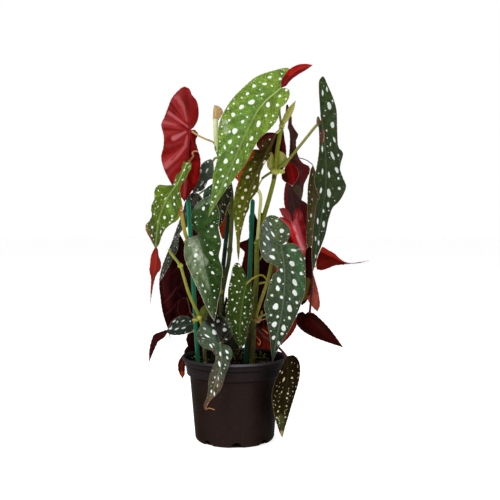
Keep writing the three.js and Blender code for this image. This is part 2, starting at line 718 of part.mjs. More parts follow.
  leaf_back_crown: {
    finish: UNDER_MAROON,
    blades: [{
      midrib: [[268, 104, 26], [258, 122, 44], [248, 142, 56], [238, 166, 62]],
      left: [[262, 98], [252, 103], [242, 116], [234, 134], [232, 152]],
      right: [[272, 107], [272, 118], [264, 130], [255, 144], [246, 156]],
      leftLobe: 0.15,
      rightLobe: 0.1,
      ripple: 2,
    }],
  },
  leaf_back_left: {
    finish: UNDER_MAROON,
    blades: [{
      midrib: [[206, 212, 46], [205, 232, 58], [205, 256, 66], [208, 288, 68]],
      left: [[200, 208], [193, 216], [188.5, 234], [190, 252], [198, 272]],
      right: [[211, 209], [216, 218], [218, 238], [217, 258], [214, 274]],
      leftLobe: 0.15,
      rightLobe: 0.15,
      turn: -0.4,
      ripple: 2,
    }],
  },
  leaf_back_right: {
    finish: UNDER_MAROON,
    blades: [{
      midrib: [[289, 252, 58], [289, 276, 70], [286, 302, 76], [282, 330, 74]],
      left: [[283, 249], [275, 262], [272, 284], [272.5, 306], [276, 320]],
      right: [[295, 251], [301, 262], [302.5, 282], [297, 304], [290, 320]],
      leftLobe: 0.15,
      rightLobe: 0.15,
      turn: 0.4,
      ripple: 2,
    }],
  },
  leaf_hanging_left: {
    finish: UNDER_RED,
    blades: [{
      midrib: [[190.6, 332, 30], [190.4, 341, 31], [188.6, 347.6, 33], [184.4, 354.6, 38]],
      left: [[187.6, 334], [186.2, 340], [187.6, 345.6], [184.4, 350.4]],
      right: [[193.8, 334], [194.2, 341], [194, 348], [189, 353]],
      ripple: 0.4,
      turn: 0,
    }, {
      midrib: [[184.8, 352.6, 37], [182.8, 360, 40], [181.8, 369, 41], [182.6, 378.6, 41]],
      left: [[181.8, 356], [178.4, 362], [178, 368.6], [179.8, 374.4]],
      right: [[185.8, 356], [185.6, 361], [185, 368], [184.6, 374.6]],
      ripple: 0.4,
      turn: 0,
      rise: 0,
    }],
  },
};

// Canes and petioles: paths of column, row and depth y. A petiole ends at its leaf's junction
const CANE_RADIUS = 3;
const PETIOLE_RADIUS = 1.5;
const CANE_SIDES = 7;
const CANE_STEPS = 18;
const PETIOLE_SIDES = 5;
const NODE_SWELLING = 1.3;
const CUTTER_WIDTH = 14;
const CUTTER_DEPTH = 7;
const CUP_ALLOWANCE = 0.25;

const CANES = {
  cane_right: {
    root: [251.5, 354, -4],
    stem: [[254.2, 310, -3], [256.5, 277, -2], [257.3, 242.4, -1], [262, 223, 0], [269.5, 197, 0],
      [274.6, 176, 0], [277.3, 150, 0], [281.8, 124.8, -1]],
    nodes: [[257.3, 242.4, -1], [274.9, 171.4, 0], [278.6, 171, -1], [282, 170.6, -1],
      [281.6, 126, -1]],
    stipules: [
      { midrib: [[274.6, 173, -1], [270.6, 163, -5], [271.4, 152, -8]],
        left: [[271.4, 172], [267, 166], [268, 158]], right: [[274.6, 168], [274, 160], [273, 154]] },
      { midrib: [[276, 173, -1], [282.6, 162, -4], [279.6, 151, -6]],
        left: [[276, 168], [275.6, 160], [277, 153.6]], right: [[281, 171], [288, 162.6], [285, 154]] },
      { midrib: [[282, 126, -1], [288.6, 115, -4], [295.8, 100.6, -8]],
        left: [[281.6, 121], [285, 113], [291, 105]], right: [[285, 124], [290.4, 117], [294, 109]] },
    ],
    petioles: [
      { leaf: 'leaf_crown', path: [[281.6, 126, -1], [279.6, 112, -5], [280, 98, -14]] },
      { leaf: 'leaf_olive', path: [[281, 129, -1], [278.6, 131, -5]] },
      { leaf: 'leaf_olive', path: [[275, 172, 0], [268, 174.6, -4], [262.6, 179, -9]], radius: 0.9,
        end: [258, 187, -19.5] },
      { leaf: 'leaf_olive', radius: 2.1, path: [[257.3, 242, -1], [259.4, 215, -9], [260.6, 196, -12]],
        end: [257, 188.6, -20.5] },
      { leaf: 'leaf_right_tall', radius: 1.9,
        path: [[276, 171, 0], [288, 160, -2], [303, 142, -3], [316, 126, -6]] },
      { leaf: 'leaf_rear_tall', path: [[281.8, 126, -1], [286, 115, 7]] },
      { leaf: 'leaf_rear_top', path: [[281, 132, 0], [282.6, 128, 16]] },
      { leaf: 'leaf_rear_fold', path: [[275, 172, 1], [283, 165, 3]] },
      { leaf: 'leaf_rear_wide', path: [[281.6, 170, 0], [283.2, 163, 7], [285.2, 165, 18]], radius: 0.9 },
      { leaf: 'leaf_right_olive', path: [[276, 171, 1], [294, 158, 2], [306, 160, 4]], radius: 0.9 },
      { leaf: 'leaf_crimson', path: [[262, 223, 0], [275, 228, 2], [287, 227, -1]], radius: 1.2 },
      { leaf: 'leaf_rear_centre', path: [[257.3, 242, 0], [257.6, 230, 16]] },
      { leaf: 'leaf_back_crown', path: [[281.6, 128, 0], [279, 114, 8], [273, 106, 16]] },
      { leaf: 'leaf_back_right', path: [[256.8, 262, -1], [272, 246, 14], [286, 240, 40]] },
      { leaf: 'leaf_right_red', path: [[256.4, 284, -1], [275, 280, 2], [296, 272, 2]] },
      { leaf: 'leaf_right_rounded', path: [[296, 272, 2], [308, 271, 7]] },
      { leaf: 'leaf_right_inner', path: [[290, 274.4, 2], [300, 256, -3]], radius: 1.1 },
      { leaf: 'leaf_right_low', path: [[303, 271, 3], [309, 264, 0], [311.8, 272, -3], [311.8, 292, -5],
        [310.6, 304, -7]], end: [309.6, 314, -11.6] },
      { leaf: 'leaf_lower_right', radius: 2.3,
        path: [[255, 318, -3], [262, 297.5, -7], [267.6, 281, -9], [272, 262, -16], [277, 250, -30]] },
      { leaf: 'leaf_lower_centre', radius: 1.1,
        path: [[267.4, 280, -9], [262, 275.2, -14], [254, 277.6, -22]] },
      { leaf: 'leaf_rear_low', path: [[255, 318, -3], [268, 314, 6]] },
      { leaf: 'leaf_rear_red', path: [[255, 318, -3], [257, 322, 20], [260, 320, 42]] },
      { leaf: 'leaf_hanging_right',
        path: [[253.6, 325, -3], [266, 338, -12], [277.5, 346.5, -22], [283, 352, -40]] },
    ],
  },
  cane_left: {
    root: [206, 353, -14],
    stem: [[202, 325, -14], [199.7, 317.7, -14], [194.5, 306, -15], [188.8, 293, -16],
      [183.6, 276, -17], [180.2, 265.5, -18], [174, 257, -20], [168.3, 249.5, -22]],
    nodes: [[199.7, 317.7, -14], [180.2, 265.5, -18]],
    stipules: [
      { midrib: [[200, 320, -14], [204.4, 312, -17], [208, 304.6, -20]],
        left: [[199, 315], [200.6, 309], [204, 305.6]], right: [[204, 320], [207.6, 314], [208.4, 309]] },
    ],
    petioles: [
      { leaf: 'leaf_lower_left', path: [[199.7, 318.4, -14], [196, 320.5, -16]] },
      { leaf: 'leaf_hanging_left', path: [[204.5, 342, -14], [199, 336, 10], [194.4, 330.6, 22]] },
      { leaf: 'leaf_left_inner', path: [[199.7, 318, -14], [192, 314.5, -8], [189, 305, 8]], radius: 0.9 },
    ],
  },
  cane_centre: {
    root: [221, 352, 0],
    stem: [[220.6, 325, 0], [221.7, 299, 2], [225.6, 276, 3], [228.6, 262, 4], [230.6, 240, 4],
      [231.6, 222, 3], [232, 202, 1], [230, 184, -1], [223, 166, -2], [217.4, 150, -3],
      [216.2, 140, -3], [215.6, 121, -4]],
    nodes: [[222, 299, 2], [217.2, 148, -3], [229.8, 250, 4]],
    stipules: [
      { midrib: [[215.4, 124, -4], [216, 114, -5], [214.4, 105, -7]],
        left: [[213, 121], [213, 115], [213.4, 109]], right: [[218.6, 120], [223, 112], [220, 107]] },
    ],
    petioles: [
      { leaf: 'leaf_left_red', path: [[217.2, 149, -3], [213.6, 142.6, -3], [205, 138.8, -3],
        [197, 134.8, -2]], radius: 1.2, end: [191.6, 131, 0.6] },
      { leaf: 'leaf_left_small', path: [[219, 158, -2], [215.4, 158, 10]] },
      { leaf: 'leaf_left_dark', path: [[225, 172, -1], [213, 186, 14], [205, 190, 22]], radius: 1.2 },
      { leaf: 'leaf_centre_dark', path: [[229, 181, 0], [228, 178, -6]] },
      { leaf: 'leaf_rear_small', path: [[231.9, 207, 1.5], [229.5, 203, 12]], radius: 1 },
      { leaf: 'leaf_back_left', path: [[231.8, 216, 2], [224.4, 205, 17], [214, 208, 34]] },
      { leaf: 'leaf_centre_left', path: [[224.4, 278, 3], [213, 262, -12], [202, 243, -26]] },
      { leaf: 'leaf_left_lime', radius: 2.5, path: [[222.6, 292, 2], [208, 272, -6], [192.6, 250, -14],
        [186, 236, -24], [183, 223, -44]], end: [180.8, 211.4, -66] },
      { leaf: 'leaf_left_maroon', path: [[221.8, 298, 2], [207, 262, 10], [194, 245, 18]] },
      { leaf: 'leaf_over_rim', path: [[220.6, 318, 0], [224, 322, -18], [223, 332, -44]] },
      { leaf: 'leaf_low_dark', path: [[221.8, 297, 2.2], [223.2, 300, 6]], radius: 1.1 },
    ],
  },
};

const STAKES = {
  stake_left: { top: [188.3, 199.5, 2], foot: [197.6, 356, 2] },
  stake_centre: { top: [252.8, 199, 7], foot: [246.2, 356, 7] },
  stake_rear: { top: [228.8, 214, 12], foot: [214, 352, 24] },
};

function tube(points, radius, sides, steps) {
  const path = new THREE.CatmullRomCurve3(points);
  const section = new THREE.Shape();
  for (let i = 0; i < sides; i += 1) {
    const angle = 2 * Math.PI * i / sides;
    const corner = [radius * Math.cos(angle), radius * Math.sin(angle)];
    if (i === 0) {
      section.moveTo(...corner);
    } else {
      section.lineTo(...corner);
    }
  }
  const geometry = new THREE.ExtrudeGeometry(section, { steps, extrudePath: path, bevelEnabled: false });
  return solidOf(geometry);
}

function knob([column, row, depth], radius) {
  const geometry = new THREE.SphereGeometry(radius, KNOB_SIDES, KNOB_RINGS);
  const centre = at(column, row, depth);
  geometry.translate(centre.x, centre.y, centre.z);
  return solidOf(geometry);
}

// The foot of a cane or stake runs straight down into the soil
function plantedPath(root, depthInSoil, above) {
  const surface = at(...root);
  const foot = new THREE.Vector3(surface.x, surface.y, SOIL_TOP - depthInSoil);
  const low = foot.clone().setZ(SOIL_TOP - depthInSoil / 2);
  return [foot, low, ...above];
}

function canePath(cane) {
  return plantedPath(cane.root, STEM_DEPTH_IN_SOIL, cane.stem.map((point) => at(...point)));
}

// A petiole is cut flat just short of the blade that it carries, parallel to it
function petioleSolid({ leaf, path, radius = PETIOLE_RADIUS, end: meeting }) {
  const [blade] = LEAVES[leaf].blades;
  const end = at(...(meeting ?? blade.midrib[0]));
  const points = [...path.map((point) => at(...point)), end];
  const before = points[points.length - 2];
  const sheet = bladeSheet(blade);
  const distances = sheet.points.map((point) => point.distanceTo(end));
  const normal = sheetNormals(sheet)[distances.indexOf(Math.min(...distances))];
  if (normal.dot(before.clone().sub(end)) > 0) {
    normal.negate();
  }
  const cutter = new THREE.BoxGeometry(CUTTER_WIDTH, CUTTER_WIDTH, CUTTER_DEPTH);
  cutter.applyQuaternion(new THREE.Quaternion().setFromUnitVectors(new THREE.Vector3(0, 0, 1), normal));
  const retreat = BLADE_THICKNESS / 2 + CLEARANCE + CUP_ALLOWANCE * radius;
  const centre = end.clone().addScaledVector(normal, CUTTER_DEPTH / 2 - retreat);
  cutter.translate(centre.x, centre.y, centre.z);
  return tube(points, radius, PETIOLE_SIDES, 2 + path.length).subtract(solidOf(cutter));
}

function caneSolid(cane) {
  const pieces = [tube(canePath(cane), CANE_RADIUS, CANE_SIDES, CANE_STEPS)];
  cane.nodes.forEach((node) => pieces.push(knob(node, CANE_RADIUS * NODE_SWELLING)));
  cane.stipules.forEach((stipule) => pieces.push(thicken(bladeSheet(stipule), BLADE_THICKNESS)));
  cane.petioles.forEach((petiole) => pieces.push(petioleSolid(petiole)));
  return largestBody(joined(pieces));
}

function stakePath(stake) {
  const top = at(...stake.top);
  const surface = at(...stake.foot);
  const lean = surface.clone().sub(top).multiplyScalar((SOIL_TOP - STAKE_DEPTH_IN_SOIL - top.z)
    / (surface.z - top.z));
  return [top.clone().add(lean), top.clone().addScaledVector(lean, 0.5), top];
}

// Nursery pot: tapered wall, stepped rim band with a groove, lip bead, and notches round the foot
function turned(profile, sides) {
  const lathe = new THREE.LatheGeometry(profile.map(([radius, z]) => new THREE.Vector2(radius, z)), sides);
  lathe.rotateX(Math.PI / 2);
  return solidOf(lathe);
}

function potSolid() {
  const fromTop = ([radius, below]) => [radius, POT_HEIGHT - below];
  const foot = [
    [0, 0], [FOOT_RADIUS - FOOT_CORNER, 0], [FOOT_RADIUS - FOOT_BEVEL, FOOT_BEVEL],
    [FOOT_RADIUS, FOOT_CORNER],
  ];
  const outside = [[WALL_TOP_RADIUS, WALL_TOP], ...BAND_OUTSIDE.map(fromTop)];
  const inside = [
    ...BAND_INSIDE.map(fromTop), [WALL_TOP_RADIUS - POT_WALL, WALL_TOP],
    [FOOT_RADIUS - POT_WALL, INNER_CORNER], [FOOT_RADIUS - FOOT_CORNER, FLOOR_THICKNESS],
    [0, FLOOR_THICKNESS],
  ];
  return turned([...foot, ...outside, ...inside], POT_SIDES);
}

function notchedPot() {
  let pot = potSolid();
  const reach = 2 * (RIM_RADIUS - FOOT_RADIUS);
  for (let i = 0; i < NOTCH_COUNT; i += 1) {
    const notch = new THREE.CylinderGeometry(NOTCH_RADIUS, NOTCH_RADIUS, reach, NOTCH_SIDES);
    notch.translate(0, NOTCH_INNER + reach / 2, 0);
    notch.rotateZ(2 * Math.PI * i / NOTCH_COUNT + NOTCH_TURN);
    pot = pot.subtract(solidOf(notch));
  }
  return pot;
}

// Soil fills the pot to below its rim and has a plain hole for each cane and stake
function soilSolid() {
  const slope = (WALL_TOP_RADIUS - FOOT_RADIUS) / (WALL_TOP - INNER_CORNER);
  const wallAt = (z) => FOOT_RADIUS - POT_WALL + (z - INNER_CORNER) * slope;
  const underside = FLOOR_THICKNESS + CLEARANCE;
  const profile = [
    [0, underside], [FOOT_RADIUS - FOOT_CORNER - 1, underside],
    [wallAt(INNER_CORNER) - SOIL_GAP, INNER_CORNER + 1], [wallAt(SOIL_STEP) - SOIL_GAP, SOIL_STEP],
    ...SOIL_SURFACE.map(([radius, above]) => [radius, SOIL_TOP + above]),
  ];
  let soil = turned(profile, SOIL_SIDES);
  Object.values(CANES).forEach((cane) => {
    const path = canePath(cane);
    path[0].z -= CLEARANCE;
    soil = soil.subtract(tube(path, CANE_RADIUS + CLEARANCE, CANE_SIDES, CANE_STEPS));
  });
  Object.values(STAKES).forEach((stake) => {
    const path = stakePath(stake);
    path[0].z -= CLEARANCE;
    soil = soil.subtract(tube(path, STAKE_RADIUS + CLEARANCE, STAKE_SIDES, STAKE_STEPS));
  });
  return largestBody(soil);
}

// The plant as one group of named meshes
const plant = new THREE.Group();

function addMesh(name, solid, finish) {
  const mesh = new THREE.Mesh(geometryOf(solid), new THREE.MeshStandardMaterial(finish));
  mesh.name = name;
  plant.add(mesh);
}

addMesh('pot', notchedPot(), POT_BROWN);
addMesh('soil', soilSolid(), SOIL_BROWN);
Object.entries(STAKES).forEach(([name, stake]) => {
  addMesh(name, tube(stakePath(stake), STAKE_RADIUS, STAKE_SIDES, STAKE_STEPS), STAKE_GREEN);
});
Object.entries(CANES).forEach(([name, cane]) => addMesh(name, caneSolid(cane), CANE_GREEN));
Object.entries(LEAVES).forEach(([name, leaf]) => addMesh(name, leafSolid(leaf), leaf.finish));

export default plant;
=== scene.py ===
"""Potted polka dot begonia: spotted leaves, canes, stakes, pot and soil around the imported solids.

Sizes are millimetres unless a name says otherwise. MM turns them into Blender's metres.
"""

import math

import bmesh
import bpy
import numpy as np
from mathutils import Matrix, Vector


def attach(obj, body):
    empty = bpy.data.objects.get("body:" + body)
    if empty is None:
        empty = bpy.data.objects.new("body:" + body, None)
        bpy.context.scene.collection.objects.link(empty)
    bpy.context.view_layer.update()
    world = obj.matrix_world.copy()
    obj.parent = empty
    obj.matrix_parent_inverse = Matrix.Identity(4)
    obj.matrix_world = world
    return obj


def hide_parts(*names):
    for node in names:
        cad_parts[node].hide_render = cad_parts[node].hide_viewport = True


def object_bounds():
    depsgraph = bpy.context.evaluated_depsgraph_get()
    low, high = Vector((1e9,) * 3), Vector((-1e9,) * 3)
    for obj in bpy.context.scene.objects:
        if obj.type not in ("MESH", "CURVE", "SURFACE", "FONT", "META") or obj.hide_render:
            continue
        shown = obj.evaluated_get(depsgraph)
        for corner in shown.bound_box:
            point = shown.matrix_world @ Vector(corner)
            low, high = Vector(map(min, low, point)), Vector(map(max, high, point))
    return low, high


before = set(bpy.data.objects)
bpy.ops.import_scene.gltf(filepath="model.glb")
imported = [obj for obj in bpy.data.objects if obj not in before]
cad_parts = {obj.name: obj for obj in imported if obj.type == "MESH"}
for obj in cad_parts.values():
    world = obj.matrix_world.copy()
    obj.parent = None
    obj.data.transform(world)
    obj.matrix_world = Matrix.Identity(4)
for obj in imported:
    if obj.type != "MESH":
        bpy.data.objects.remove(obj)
cad_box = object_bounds()
MM = 0.001

# Driving dimensions, as in the part
POT_HEIGHT = 112
RIM_RADIUS = 70
BAND_HEIGHT = 23
FOOT_RADIUS = 53
POT_WALL = 1.8
FLOOR_THICKNESS = 2.4
FOOT_CORNER = 5
NOTCH_COUNT = 8
NOTCH_RADIUS = 7.5
NOTCH_TURN = math.radians(3.5)
NOTCH_INNER = 47
NOTCH_LENGTH = 20
SOIL_TOP = 100
STAKE_RADIUS = 3
STEM_DEPTH_IN_SOIL = 40
STAKE_DEPTH_IN_SOIL = 80
BLADE_THICKNESS = 0.8
CANE_GIRTH = {"cane_right": (3.9, 2.7), "cane_left": (2.9, 1.8), "cane_centre": (3.1, 2.7)}
PETIOLE_RADIUS = 1.5

# Drawing sheet: outlines are drawn as seen from the front, on a sheet of 500 by 500 units
SHEET_UNIT = 4 / 3
SHEET_CENTRE = 250
AXIS_COLUMN = 234.6
BASE_ROW = 438
EYE_DISTANCE = 1140
EYE_TILT = math.radians(2.6)
RIGHTWARD = np.array([1.0, 0.0, 0.0])
FORWARD = np.array([0.0, math.cos(EYE_TILT), -math.sin(EYE_TILT)])
UPWARD = np.array([0.0, math.sin(EYE_TILT), math.cos(EYE_TILT)])
BASE_DROP = (BASE_ROW - SHEET_CENTRE) * SHEET_UNIT
AIM_HEIGHT = BASE_DROP / (math.cos(EYE_TILT) - BASE_DROP * math.sin(EYE_TILT) / EYE_DISTANCE)
AIM_POINT = np.array([(SHEET_CENTRE - AXIS_COLUMN) * SHEET_UNIT, 0.0, AIM_HEIGHT])
EYE = AIM_POINT - FORWARD * EYE_DISTANCE

GRAIN = 1.25
TUBE_SIDES = 12
TUBE_STEP = 2.5

# Details of a blade
TOOTH_LENGTHS = (4.6, 2.7)  # sheet units between the large and the small waves of a margin
SPOT_LANES = (0.2, 0.42, 0.64, 0.83, 0.94)  # rows of scattered spots, from midrib to margin
VEIN_REACH = 0.94  # share of the way to the margin
VEIN_POINTS = 10
LOBE_VEINS = 6  # for a lobe as long as the whole margin
SPOT_GAPS = 0.22  # share of the scattered spots that are left out
THIN_EDGE = 1.5  # mm from the margin to where a blade is nearly its full thickness
SWELLING_REACH = 4.5  # mm from a vein to where the blade has swollen most of the way
PLEAT_REACH = 22  # sheet units from the middle of the pleats to their full height
NO_SPOT = 9.0  # mm, farther than any material asks
NO_EDGE = 20.0
PLAIN_LOOK = dict(grain=1.0, patches=(), pleats=None, veins=6, relief=1.2, size=2.4, gap=11, marks=None,
                  spotted=True)


def at(column, row, depth):
    """Points of the sheet, carried along the sight line to the depth y"""
    column, row, depth = np.broadcast_arrays(column, row, depth)
    ray = (FORWARD * EYE_DISTANCE
           + ((column - SHEET_CENTRE) * SHEET_UNIT)[..., None] * RIGHTWARD
           + ((SHEET_CENTRE - row) * SHEET_UNIT)[..., None] * UPWARD)
    return EYE + ray * ((depth - EYE[1]) / ray[..., 1])[..., None]


class Curve:
    """A smooth centripetal curve through points, walked by share of its length"""

    def __init__(self, points, fineness=24):
        given = np.array(points, float)
        before = 2 * given[0] - given[1]
        after = 2 * given[-1] - given[-2]
        all_points = np.vstack([before, given, after])
        share = (np.arange(fineness) / fineness)[:, None]
        stretches = []
        for i in range(len(given) - 1):
            p0, p1, p2, p3 = all_points[i:i + 4]
            d0, d1, d2 = (max(np.linalg.norm(b - a) ** 0.5, 1e-4) for a, b in ((p0, p1), (p1, p2), (p2, p3)))
            leave = ((p1 - p0) / d0 - (p2 - p0) / (d0 + d1) + (p2 - p1) / d1) * d1
            reach = ((p2 - p1) / d1 - (p3 - p1) / (d1 + d2) + (p3 - p2) / d2) * d1
            square = -3 * p1 + 3 * p2 - 2 * leave - reach
            cube = 2 * p1 - 2 * p2 + leave + reach
            stretches.append(p1 + leave * share + square * share ** 2 + cube * share ** 3)
        self.points = np.vstack([*stretches, given[-1:]])
        lengths = np.linalg.norm(np.diff(self.points, axis=0), axis=1)
        walked = np.concatenate([[0], np.cumsum(lengths)])
        self.length = walked[-1]
        self.share = walked / self.length

    def at(self, share):
        return np.stack([np.interp(share, self.share, values) for values in self.points.T], axis=-1)


class Piece:
    """A mesh in the making: points, faces, material slots and the values that materials read"""

    VALUES = ("spot", "vein", "rib", "edge", "along", "side")

    def __init__(self):
        self.points = []
        self.faces = []
        self.slots = []
        self.values = {name: [] for name in self.VALUES}
        self.tints = []
        self.count = 0

    def add(self, points, faces, slots, tint=None, **values):
        """slots is one material slot, or one for each face. tint is red, green, blue and cover"""
        size = len(points)
        self.faces.extend([tuple(corner + self.count for corner in face) for face in faces])
        self.slots.extend([slots] * len(faces) if isinstance(slots, int) else slots)
        self.points.append(np.asarray(points, float))
        for name in self.VALUES:
            self.values[name].append(np.broadcast_to(values.get(name, 0.0), size))
        self.tints.append(np.zeros((size, 4)) if tint is None else tint)
        self.count += size

    def build(self, name, materials, nodes=(), smooth_angle=50):
        mesh = bpy.data.meshes.new(name)
        points = np.clip(np.vstack(self.points) * MM, *cad_box)
        mesh.from_pydata(points.tolist(), [], self.faces)
        for material in materials:
            mesh.materials.append(material)
        mesh.polygons.foreach_set("material_index", self.slots)
        for value, parts in self.values.items():
            layer = mesh.attributes.new(value, "FLOAT", "POINT")
            layer.data.foreach_set("value", np.concatenate(parts).astype(np.float32))
        layer = mesh.attributes.new("tint", "FLOAT_COLOR", "POINT")
        layer.data.foreach_set("color", np.vstack(self.tints).astype(np.float32).ravel())
        mesh.polygons.foreach_set("use_smooth", [True] * len(mesh.polygons))
        mesh.set_sharp_from_angle(angle=math.radians(smooth_angle))
        mesh.update()
        made = bpy.data.objects.new(name, mesh)
        bpy.context.scene.collection.objects.link(made)
        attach(made, "root")
        if nodes:
            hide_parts(*nodes)
        return made


# Leaf blades: drawn as in the part, on a finer grid
def blade(midrib, left, right, **settings):
    """A blade's outline and its settings. A lobe is the part of a margin that reaches back past the stalk"""
    first, last = midrib[0], midrib[-1]
    span = math.hypot(last[0] - first[0], last[1] - first[1]) * SHEET_UNIT
    rise = (last[2] - first[2]) / span * math.copysign(1, first[1] - last[1])
    plain = dict(left_lobe=0.05, right_lobe=0.05, turn=0, rise=rise, fold=0.15, ripple=2, waves=5, teeth=0.15)
    return {"midrib": midrib, "left": left, "right": right, **plain, **settings}


def along_line(points, line):
    """For each straight part of a line: the share along it and the distance from it, for each point"""
    for start, end in zip(line[:-1], line[1:]):
        way = end - start
        share = np.clip((points - start) @ way / max(way @ way, 1e-9), 0, 1)
        yield share, np.linalg.norm(points - start - share[:, None] * way, axis=1)


def distance_to_lines(points, lines):
    """Distance on the sheet from each point to the nearest of some lines"""
    nearest = np.full(len(points), np.inf)
    for line in lines:
        for _, away in along_line(points, line):
            nearest = np.minimum(nearest, away)
    return nearest


class Half:
    """One half of a blade, from the midrib to its margin"""

    def __init__(self, blade, side, rib, grain, body_rows):
        tip = blade["midrib"][-1]
        self.rib = rib
        self.lobe = blade[side + "_lobe"]
        self.margin = Curve([*blade[side], tip[:2]])
        self.phase = 0 if side == "left" else 2
        fan_rows = max(1, round(self.lobe * self.margin.length * SHEET_UNIT / grain))
        body = np.arange(body_rows + 1) / body_rows
        self.along = np.concatenate([np.zeros(fan_rows), body])
        self.round = np.concatenate([self.lobe * np.arange(fan_rows) / fan_rows,
                                     self.lobe + (1 - self.lobe) * body])
        self.rib_row = np.concatenate([np.zeros(fan_rows, int), np.arange(body_rows + 1)])
        self.rib_points = rib.at(self.along)
        self.edge = self.margin.at(self.round) + self.teeth(self.round, blade["teeth"])
        widest = np.linalg.norm(self.edge - self.rib_points[:, :2], axis=1).max() * SHEET_UNIT
        self.steps = max(4, math.ceil(widest / grain))
        self.across = np.arange(self.steps + 1) / self.steps

    def teeth(self, share, size):
        """Small uneven waves of the margin, in sheet units, fading at both ends"""
        long_wave, short_wave = TOOTH_LENGTHS
        turned = share * self.margin.length * 2 * math.pi
        wave = np.sin(turned / long_wave + self.phase) + 0.6 * np.sin(turned / short_wave)
        outward = self.margin.at(share) - self.rib.at(share)[:, :2]
        outward /= np.linalg.norm(outward, axis=1)[:, None] + 1e-6
        return outward * (wave * size * np.sqrt(np.clip(np.sin(math.pi * share), 0, 1)))[:, None]

    def on_sheet(self, along, across):
        """Sheet points at shares along the midrib and across the half. Negative shares go round the lobe"""
        along = np.asarray(along, float)
        body = np.clip(along, 0, 1)
        share = np.where(along < 0, self.lobe * (1 + along), self.lobe + (1 - self.lobe) * body)
        rib = self.rib.at(body)[..., :2]
        return rib + (self.margin.at(share) - rib) * np.asarray(across, float)[..., None]

    def vein_lines(self, count, sweep=0.2):
        """Side veins run from the midrib forward to the margin, and fan out into the lobe"""
        reach = np.linspace(0, VEIN_REACH, VEIN_POINTS)
        lines = []
        for i in range(count):
            start = (i + 0.4) / count * (1 - sweep)
            lines.append(self.on_sheet(start + sweep * reach ** 1.3, reach))
        fan = max(1, round(self.lobe * LOBE_VEINS))
        for i in range(fan):
            lines.append(self.on_sheet(np.full(VEIN_POINTS, -1 + (i + 0.6) / fan), reach))
        return lines


def blade_depth(blade, half, sheet, rib):
    """Depth y of sheet points: the midrib's own depth with the blade's turn, rise, fold and ripple"""
    right = (sheet[..., 0] - rib[..., 0]) * SHEET_UNIT
    up = (rib[..., 1] - sheet[..., 1]) * SHEET_UNIT
    ripple = np.sin(2 * math.pi * blade["waves"] * half.round + half.phase)
    bump = np.sqrt(np.clip(np.sin(math.pi * half.round), 0, 1))
    return (rib[..., 2] + blade["turn"] * right + blade["rise"] * up + blade["fold"] * np.hypot(right, up)
            + blade["ripple"] * (ripple * bump)[:, None] * half.across ** 2)


def spot_distance(points, spots):
    """Distance in mm from sheet points to the nearest spot, negative inside it"""
    nearest = np.full(len(points), NO_SPOT)
    for column, row, half_length, half_width, angle in spots:
        away = points - (column, row)
        turn = math.radians(angle)
        lengthways = away[:, 0] * math.cos(turn) - away[:, 1] * math.sin(turn)
        sideways = away[:, 0] * math.sin(turn) + away[:, 1] * math.cos(turn)
        ragged = 1 + 0.07 * np.sin(3 * np.arctan2(sideways, lengthways) + column)
        reach = np.hypot(lengthways / half_length, sideways / half_width) * ragged
        nearest = np.minimum(nearest, (reach - 1) * half_width * SHEET_UNIT)
    return nearest


def linear(colour):
    """A colour given as a screen shows it, 0 to 255, as light"""
    share = np.asarray(colour, float) / 255
    return np.where(share <= 0.04045, share / 12.92, ((share + 0.055) / 1.055) ** 2.4)


def stroke_cover(points, line, reach, soft):
    """How far a brush stroke along a line covers sheet points, 0 to 1. reach may differ at its ends"""
    line = np.asarray(line, float)
    first, last = reach if isinstance(reach, tuple) else (reach, reach)
    nearest = np.full(len(points), np.inf)
    for number, (share, away) in enumerate(along_line(points, line)):
        width = first + (last - first) * (number + share) / (len(line) - 1)
        nearest = np.minimum(nearest, away - width)
    cover = np.clip(0.5 - nearest / soft, 0, 1)
    return cover * cover * (3 - 2 * cover)


def patch_tint(points, patches):
    """Colour and cover of the patches over each other: each is a line, a reach, a colour and a strength"""
    tint = np.zeros((len(points), 4))
    for line, reach, colour, strength in patches:
        widest = max(reach) if isinstance(reach, tuple) else reach
        cover = strength * stroke_cover(points, line, reach, max(1.2, 0.8 * widest))[:, None]
        tint = tint * (1 - cover) + np.array([*linear(colour), 1.0]) * cover
    return tint


def pleat_height(points, pleats):
    """Zigzag of a blade pleated out from one point: creases run to the ends, turn about up and down"""
    centre = np.asarray(pleats["centre"], float)
    ends = np.asarray(pleats["ends"], float) - centre
    turns = np.unwrap(np.arctan2(ends[:, 1], ends[:, 0]))
    away = points - centre
    turn = np.arctan2(away[:, 1], away[:, 0])
    middle = turns.mean()
    turn = middle + (turn - middle + math.pi) % (2 * math.pi) - math.pi
    order = np.argsort(turns)
    zigzag = np.where(np.arange(len(ends)) % 2 == 0, 1.0, -1.0)
    height = np.interp(turn, turns[order], zigzag[order])
    return pleats["height"] * height * np.clip(np.linalg.norm(away, axis=1) / PLEAT_REACH, 0, 1)


